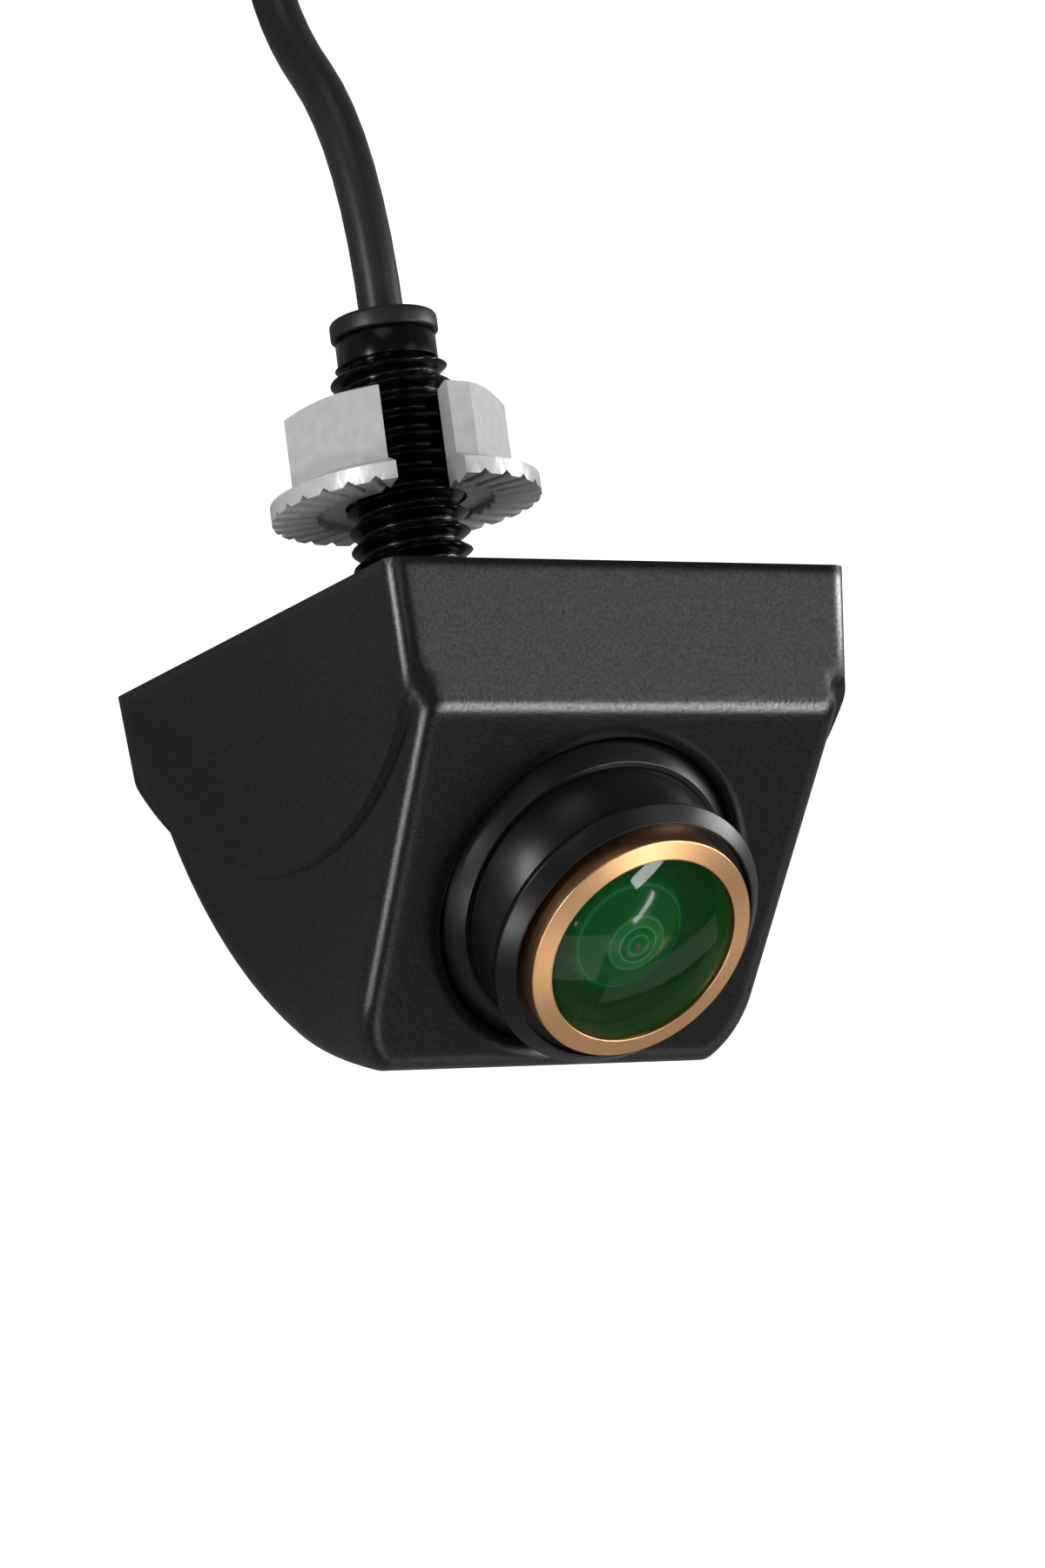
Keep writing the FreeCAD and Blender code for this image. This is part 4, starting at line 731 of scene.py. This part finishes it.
@dataclass
class Eyeball:
    """Eyeball with its collar, metal ring, glass and optics. Profiles are in millimetres from the ball's centre."""

    tilt_deg: float = 5.0
    ball_radius: float = 9.1
    shell_radius: float = 8.2
    split: float = -1.6
    neck_radius: float = 7.5
    neck_bore: float = 6.9
    neck_end: float = 5.2
    bezel_bore: float = 7.0
    bezel_radius: float = 9.24
    bezel_rim: float = 5.64
    bezel_mouth: float = 8.25
    bezel_top: float = 6.48
    bezel_lip: float = 0.12
    bezel_floor: float = 5.8
    bezel_rounds: Tuple[float, ...] = (0, 0.12, 0.14, 0.06, 0.06, 0.1, 0)
    trim_outer: float = 7.64
    trim_inner: float = 6.39
    trim_outer_top: float = 7.41
    trim_inner_top: float = 7.68
    trim_rounds: Tuple[float, ...] = (0, 0, 0.08, 0.07)
    trim_ease: float = 0.03
    glass_radius: float = 6.36
    glass_low: float = 5.3
    glass_edge: float = 7.35
    glass_top: float = 8.45
    hollow_radius: float = 4.2
    hollow_top: float = 7.0
    # Sheet under the front glass that carries the painted reflection rings.
    reflection_sheet_inset: float = 0.05
    reflection_sheet_gap: float = 0.02
    reflection_sheet_low: float = 0.05
    lens_radius: float = 5.0
    spacer_bore: float = 3.9
    lens_low: float = 1.9
    lens_edge: float = 2.8
    lens_top: float = 3.8

    def place(self) -> Placement:
        """Find the eyeball's frame.

        Returns:
            The carrier's frame, turned about X by the tilt at rest.
        """
        base = Carrier().place()
        turned = Matrix.Rotation(math.radians(self.tilt_deg), 3, "X") @ base.axis
        return Placement(base.origin, turned)

    def build(self) -> None:
        """Make the turned pieces and paint the optics inside."""
        self.front_shell()
        self.collar()
        self.metal_ring()
        self.glass()
        self.painted_reflections()
        self.inner_lens()
        paint_nodes(PLASTIC_BLACK, "eyeball_rear_shell", "lens_holder")
        paint_nodes(RUBBER, "glass_seal", "sensor_lead")
        paint_nodes(BARREL_BLACK, "lens_barrel", "stop_ring", "lens_spacer")
        paint_nodes(INNER_GLASS, "rear_lens", "colour_filter")
        paint_nodes(CHIP, "image_sensor")
        paint_nodes(BOARD, "sensor_board")
        paint_nodes(PLASTIC_CREAM, "lead_socket")

    def front_shell(self) -> None:
        """Front of the ball, from its split to the collar's neck."""
        neck = math.sqrt(self.ball_radius ** 2 - self.neck_radius ** 2)
        inner = math.sqrt(self.shell_radius ** 2 - self.neck_bore ** 2)
        outside = arc_points(self.ball_radius, self.split, neck, 40)
        inside = arc_points(self.shell_radius, self.split, inner, 24)[::-1]
        profile = outside + [(self.neck_radius, self.neck_end), (self.neck_bore, self.neck_end)] + inside
        turned_piece("ball_front", profile, self.place(), LENS_BLACK, Body.EYEBALL,
                     ("eyeball_front_shell",))

    def collar(self) -> None:
        """Collar with a coned rim round the metal ring."""
        corners = [(self.bezel_bore, self.neck_end), (self.bezel_radius, self.neck_end),
                   (self.bezel_radius, self.bezel_rim), (self.bezel_mouth + self.bezel_lip, self.bezel_top),
                   (self.bezel_mouth, self.bezel_top), (self.bezel_mouth, self.bezel_floor),
                   (self.bezel_bore, self.bezel_floor)]
        profile = corner_rounds(corners, self.bezel_rounds)
        turned_piece("lens_collar", profile, self.place(), LENS_BLACK, Body.EYEBALL,
                     ("lens_bezel",), 240)

    def metal_ring(self) -> None:
        """Turned metal ring, its top falling slightly to the outside."""
        corners = [(self.trim_inner, self.bezel_floor), (self.trim_outer, self.bezel_floor),
                   (self.trim_outer, self.trim_outer_top), (self.trim_inner, self.trim_inner_top)]
        profile = corner_rounds(corners, self.trim_rounds, ease=self.trim_ease)
        turned_piece("gold_trim", profile, self.place(), GOLD_RING, Body.EYEBALL, ("trim_ring",), 240)

    def glass(self) -> None:
        """Domed front glass with a hollow underside."""
        dome = cap_points(self.glass_radius, self.glass_edge, self.glass_top, 28)
        hollow = cap_points(self.hollow_radius, self.glass_low, self.hollow_top, 20)[::-1]
        profile = [(self.glass_radius, self.glass_low)] + dome + hollow
        turned_piece("domed_glass", profile, self.place(), FRONT_GLASS, Body.EYEBALL,
                     ("front_glass",), 200)

    def painted_reflections(self) -> None:
        """Sheet in the hollow under the front glass that carries the lens's painted reflection rings."""
        cap = np.asarray(cap_points(self.hollow_radius - self.reflection_sheet_inset, self.glass_low, self.hollow_top, 80))
        profile = np.concatenate([cap - (0.0, self.reflection_sheet_gap), cap[::-1] - (0.0, self.reflection_sheet_low)])
        turned_piece("painted_reflection_sheet", profile, self.place(), PAINTED_LENS_REFLECTIONS, Body.EYEBALL)

    def inner_lens(self) -> None:
        """Second lens, domed on top from the spacer's bore inwards."""
        dome = cap_points(self.spacer_bore, self.lens_edge, self.lens_top, 30)
        profile = [(0.0, self.lens_low), (self.lens_radius, self.lens_low), (self.lens_radius, self.lens_edge)] + dome
        turned_piece("second_dome", profile, self.place(), INNER_GLASS, Body.EYEBALL,
                     ("second_lens",))


@dataclass
class Electronics:
    """Main board and what is on it."""

    def build(self) -> None:
        """Paint the board's pieces."""
        paint_nodes(BOARD, "main_board")
        paint_nodes(CHIP, "video_chip", "power_coil")
        paint_nodes(PLASTIC_CREAM, "board_socket")
        paint_nodes(BRASS, "standoff_left", "standoff_right")


@dataclass
class Cable:
    """Cable from the grommet to the tied coil and the plug. Sizes in millimetres unless said."""

    radius: float = 1.5
    exit_above_face: float = 22.4
    outer_turn: float = 18.05
    inner_turn: float = 15.0
    low: float = 1.55
    high: float = 4.6
    points_per_turn: int = 20
    turns: float = 4.0
    crossing: float = 1.0 / 6.0
    bevel_steps: int = 6
    curve_steps: int = 8
    length: float = 0.48
    route: Tuple[Point, ...] = ((0.0, 35.0, 11.55), (0.2, 48.0, 1.55), (1.0, 63.5, 1.65))
    tail: Tuple[Point, ...] = ((1.0, 72.0, 4.5), (1.0, 83.5, 4.5))
    line: List[Vector] = field(default_factory=list)

    def build(self) -> bpy.types.Object:
        """Make the cable's curve.

        Returns:
            The cable.
        """
        face = Stud().place()
        low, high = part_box("cable_coil")
        centre = Vector(((low.x + high.x) / 2, (low.y + high.y) / 2, low.z))
        start = face.origin + face.axis * (self.exit_above_face * MM)
        self.line = [start]
        self.line += [Vector((x * MM, face.origin.y + y * MM, z * MM)) for x, y, z in self.route]
        self.line += self.coil_points(centre)
        self.line += [Vector((x * MM, face.origin.y + y * MM, z * MM)) for x, y, z in self.tail]
        curve = bpy.data.curves.new("cable", "CURVE")
        curve.dimensions = "3D"
        curve.bevel_depth = self.radius * MM
        curve.bevel_resolution = self.bevel_steps
        curve.resolution_u = self.curve_steps
        curve.use_fill_caps = True
        spline = curve.splines.new("NURBS")
        spline.points.add(len(self.line) - 1)
        for point, place in zip(spline.points, self.line):
            point.co = (*place, 1.0)
        spline.order_u = 3
        spline.use_endpoint_u = True
        curve.materials.append(SHEATH.material())
        piece = bpy.data.objects.new("cable", curve)
        bpy.context.scene.collection.objects.link(piece)
        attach(piece, Body.CAMERA.value)
        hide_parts("cable_lead", "cable_coil", "plug_tail")
        LOG.info("cable: %d route points", len(self.line))
        return piece

    def coil_points(self, centre: Vector) -> List[Vector]:
        """Points of the coil's turns: outer low, inner low, inner high, outer high.

        Args:
            centre: Coil's centre on the floor.

        Returns:
            Points at radius R(t) and height H(t) at angle 2 pi t, where R and H change over the crossing,
            the last part of the turn before each step.
        """
        turns = np.linspace(0.0, self.turns, round(self.turns * self.points_per_turn) + 1)
        ends = [0.0, 1.0 - self.crossing, 1.0, 2.0 - self.crossing, 2.0, 3.0 - self.crossing, 3.0, self.turns]
        spread = 1.0 / (0.5 + 0.5 * math.cos(math.pi / self.points_per_turn))
        wide, tight = self.outer_turn * spread, self.inner_turn * spread
        radii = np.interp(turns, ends, [wide, wide, tight, tight, tight, tight, wide, wide])
        heights = np.interp(turns, ends, [self.low] * 4 + [self.high] * 4)
        angles = 2.0 * math.pi * turns
        xs = centre.x + radii * np.cos(angles) * MM
        ys = centre.y + radii * np.sin(angles) * MM
        zs = centre.z + heights * MM
        return [Vector(p) for p in np.stack([xs, ys, zs], axis=1)]


@dataclass
class Plug:
    """Round waterproof plug. Profiles are in millimetres from the relief's thin end."""

    cable_radius: float = 1.5
    relief_thin: float = 2.1
    relief_thick: float = 3.2
    relief_length: float = 9.0
    relief_start: float = 0.3
    lip_length: float = 0.9
    lip_round: float = 0.3
    rib_depth: float = 0.22
    squeeze: float = 0.1
    grip_radius: float = 4.4
    grip_length: float = 14.0
    nose_radius: float = 3.6
    nose_bore: float = 2.9
    nose_length: float = 8.0
    nose_deep: float = 6.0
    rings: int = 3
    shoulder: float = 0.8
    shoulder_length: float = 1.5
    grooves: int = 4
    groove_start: float = 3.0
    groove_step: float = 2.4
    groove_length: float = 1.2
    groove_ramp: float = 0.15
    groove_depth: float = 0.4
    nose_taper: float = 1.0

    def place(self) -> Placement:
        """Return the plug's frame: its axis runs from the relief to the nose."""
        low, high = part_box("plug_relief")
        return Placement(Vector(((low.x + high.x) / 2, low.y, (low.z + high.z) / 2)), Vector((0.0, 1.0, 0.0)))

    def build(self) -> List[bpy.types.Object]:
        """Make the relief and grip, and dress the contacts, the seal and the coil's tie.

        Returns:
            The pieces on the cable.
        """
        pieces = [self.relief(), self.grip()]
        pieces.append(dressed_copy("plug_contacts", BRASS, Body.CAMERA))
        pieces.append(dressed_copy("plug_seal", RUBBER, Body.CAMERA))
        pieces.append(dressed_copy("coil_tie", PLASTIC_BLACK, Body.CAMERA))
        return pieces

    def relief(self) -> bpy.types.Object:
        """Ribbed relief: a cone with rings cut into it, each ring the upper half of a sine wave.

        Returns:
            The relief.
        """
        heights = np.linspace(self.relief_start, self.relief_length, 60)
        cone = self.relief_thin + (self.relief_thick - self.relief_thin) * heights / self.relief_length
        waves = np.sin(heights * 2.0 * math.pi / (self.relief_length / (self.rings + 1)))
        ribs = self.rib_depth * np.clip(waves, 0.0, 1.0)
        side = np.stack([cone - ribs, heights], axis=1)
        lip = -self.lip_length
        bore = self.cable_radius - self.squeeze
        profile = np.concatenate([[(bore, lip), (self.relief_thin - self.lip_round, lip)], side,
                                  [(bore, self.relief_length)]])
        return turned_piece("plug_boot", profile, self.place(), RUBBER, Body.CAMERA,
                            ("plug_relief",), 72)

    def grip(self) -> bpy.types.Object:
        """Grip with finger grooves, a shoulder and a hollow nose.

        Returns:
            The grip.
        """
        low = self.relief_length
        high = low + self.grip_length
        corners = [(0.0, low), (self.grip_radius - self.shoulder, low), (self.grip_radius, low + self.shoulder_length)]
        rounds = [0.0, 0.3, 0.6]
        for i in range(self.grooves):
            start = low + self.groove_start + self.groove_step * i
            end = start + self.groove_length
            floor = self.grip_radius - self.groove_depth
            corners += [(self.grip_radius, start), (floor, start + self.groove_ramp),
                        (floor, end - self.groove_ramp), (self.grip_radius, end)]
            rounds += [0.1, 0.06, 0.06, 0.1]
        nose = high + self.nose_length
        corners += [(self.grip_radius, high - self.nose_taper), (self.nose_radius, high), (self.nose_radius, nose),
                    (self.nose_bore, nose), (self.nose_bore, nose - self.nose_deep), (0.0, nose - self.nose_deep)]
        rounds += [0.4, 0.2, 0.15, 0.1, 0.0, 0.0]
        return turned_piece("plug_body", corner_rounds(corners, rounds, 4), self.place(), PLASTIC_BLACK,
                            Body.CAMERA, ("plug_grip",), 96)


@dataclass
class Softbox:
    """Rectangular area light aimed at the object.

    Attributes:
        name: Light name.
        direction: Direction from the object to the light.
        width: Width in metres.
        height: Height in metres.
        radiance: Power per area in watts per square metre.
        distance: Distance from the object in metres.
    """

    name: str
    direction: Point
    width: float
    height: float
    radiance: float
    distance: float = 0.5

    def add(self, target: Vector) -> None:
        """Add the light.

        Args:
            target: Point that it is aimed at.
        """
        light = bpy.data.lights.new(self.name, "AREA")
        light.shape = "RECTANGLE"
        light.size = self.width
        light.size_y = self.height
        light.energy = self.radiance * self.width * self.height
        holder = bpy.data.objects.new(self.name, light)
        bpy.context.scene.collection.objects.link(holder)
        way = Vector(self.direction).normalized()
        holder.location = target + way * self.distance
        holder.rotation_euler = way.to_track_quat("Z", "Y").to_euler()


@dataclass
class Studio:
    """Floor, backdrop, lights and camera."""

    azimuth_deg: float = 33.54
    elevation_deg: float = 11.2
    roll_deg: float = -7.57
    camera_from_face: Point = (-0.204470, -0.083917, 0.329211)
    lens_mm: float = 205.96
    sensor_mm: float = 36.0
    near_clip: float = 0.01
    floor_size: float = 6.0
    floor_tone: float = 0.25
    floor_roughness: float = 0.9
    fill: float = 0.25
    mirrored: float = 0.12
    boxes: Tuple[Softbox, ...] = (
        Softbox("left_low_light", (-0.95, 0.14, 0.27), 0.26, 0.07, 74.0),
        Softbox("left_high_light", (-0.44, 0.16, 0.88), 0.20, 0.05, 8.0),
        Softbox("lower_edge_light", (-0.75, -0.58, 0.26), 0.09, 0.16, 46.0),
        Softbox("facet_light", (0.46, 0.20, 0.86), 0.26, 0.24, 3.2),
        Softbox("fold_light", (0.54, -0.38, 0.75), 0.34, 0.045, 84.0),
        Softbox("right_light", (0.93, 0.17, 0.32), 0.10, 0.26, 46.0),
        Softbox("ring_light", (0.12, -0.93, 0.35), 0.16, 0.16, 4.4),
        Softbox("ring_low_light", (0.64, -0.76, 0.11), 0.34, 0.10, 2.6),
        Softbox("stud_light", (-0.35, 0.90, 0.45), 0.20, 0.20, 3.0),
    )

    def build_camera(self) -> None:
        """Set the camera from its place and its azimuth, elevation and roll about the standing object."""
        az = math.radians(self.azimuth_deg)
        el = math.radians(self.elevation_deg)
        roll = math.radians(self.roll_deg)
        back = Vector((-math.sin(az) * math.cos(el), -math.cos(az) * math.cos(el), -math.sin(el)))
        ahead = -back
        side = ahead.cross(Vector((0.0, 0.0, 1.0))).normalized()
        upward = side.cross(ahead)
        right = side * math.cos(roll) + upward * math.sin(roll)
        up = upward * math.cos(roll) - side * math.sin(roll)
        lay_down = Matrix(((1, 0, 0), (0, 0, 1), (0, -1, 0)))
        axes = Matrix((lay_down @ right, lay_down @ up, lay_down @ back)).transposed()
        data = bpy.data.cameras.new("camera")
        data.sensor_fit = "HORIZONTAL"
        data.sensor_width = self.sensor_mm
        data.lens = self.lens_mm
        data.clip_start = self.near_clip
        holder = bpy.data.objects.new("camera", data)
        bpy.context.scene.collection.objects.link(holder)
        face = mount_point("mounting_face")
        place = Vector(self.camera_from_face) + Vector((0.0, face.y, 0.0))
        holder.matrix_world = Matrix.Translation(place) @ axes.to_4x4()
        bpy.context.scene.camera = holder

    def build_stage(self) -> None:
        """Add the white floor, the world and the lights."""
        half = self.floor_size / 2
        mesh = bpy.data.meshes.new("floor")
        mesh.from_pydata([(-half, -half, 0), (half, -half, 0), (half, half, 0), (-half, half, 0)], [], [(0, 1, 2, 3)])
        mesh.materials.append(self.floor_material())
        floor = bpy.data.objects.new("floor", mesh)
        bpy.context.scene.collection.objects.link(floor)
        self.build_world()
        low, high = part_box("housing_shell")
        target = (low + high) / 2
        for box in self.boxes:
            box.add(target)
        bpy.context.scene.view_settings.view_transform = "Standard"

    def floor_material(self) -> bpy.types.Material:
        """Build the floor's material: white to the camera, dimmer as a light and in reflections.

        Returns:
            The material.
        """
        made, shader = start_material("floor_white")
        tree = made.node_tree
        shader.inputs["Base Color"].default_value = (self.floor_tone, self.floor_tone, self.floor_tone, 1.0)
        shader.inputs["Roughness"].default_value = self.floor_roughness
        shader.inputs["Specular IOR Level"].default_value = 0.0
        path = tree.nodes.new("ShaderNodeLightPath")
        shader.inputs["Emission Color"].default_value = (1.0, 1.0, 1.0, 1.0)
        tree.links.new(path.outputs["Is Camera Ray"], shader.inputs["Emission Strength"])
        return made

    def build_world(self) -> None:
        """Make the world white to the camera, dimmer as a light and dimmer still in reflections."""
        world = bpy.data.worlds.new("studio")
        bpy.context.scene.world = world
        world.use_nodes = True
        tree = world.node_tree
        sky = tree.nodes["Background"]
        sky.inputs["Color"].default_value = (1.0, 1.0, 1.0, 1.0)
        path = tree.nodes.new("ShaderNodeLightPath")
        mirrored = tree.nodes.new("ShaderNodeMath")
        mirrored.operation = "MAXIMUM"
        tree.links.new(path.outputs["Is Glossy Ray"], mirrored.inputs[0])
        tree.links.new(path.outputs["Is Transmission Ray"], mirrored.inputs[1])
        dim = tree.nodes.new("ShaderNodeMapRange")
        dim.inputs["To Min"].default_value = self.fill
        dim.inputs["To Max"].default_value = self.mirrored
        tree.links.new(mirrored.outputs[0], dim.inputs["Value"])
        level = tree.nodes.new("ShaderNodeMath")
        level.operation = "MAXIMUM"
        tree.links.new(dim.outputs["Result"], level.inputs[0])
        tree.links.new(path.outputs["Is Camera Ray"], level.inputs[1])
        tree.links.new(level.outputs[0], sky.inputs["Strength"])


def main() -> None:
    """Build the camera, the cable and every sub-assembly in order."""
    logging.basicConfig(level=logging.INFO, format="%(message)s")
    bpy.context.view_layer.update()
    studio = Studio()
    studio.build_camera()
    cable = Cable()
    lead = cable.build()
    Plug().build()
    for part in (Housing(), Stud(), Carrier(), Eyeball(), Electronics()):
        part.build()
    studio.build_stage()


if __name__ == "__main__":
    main()
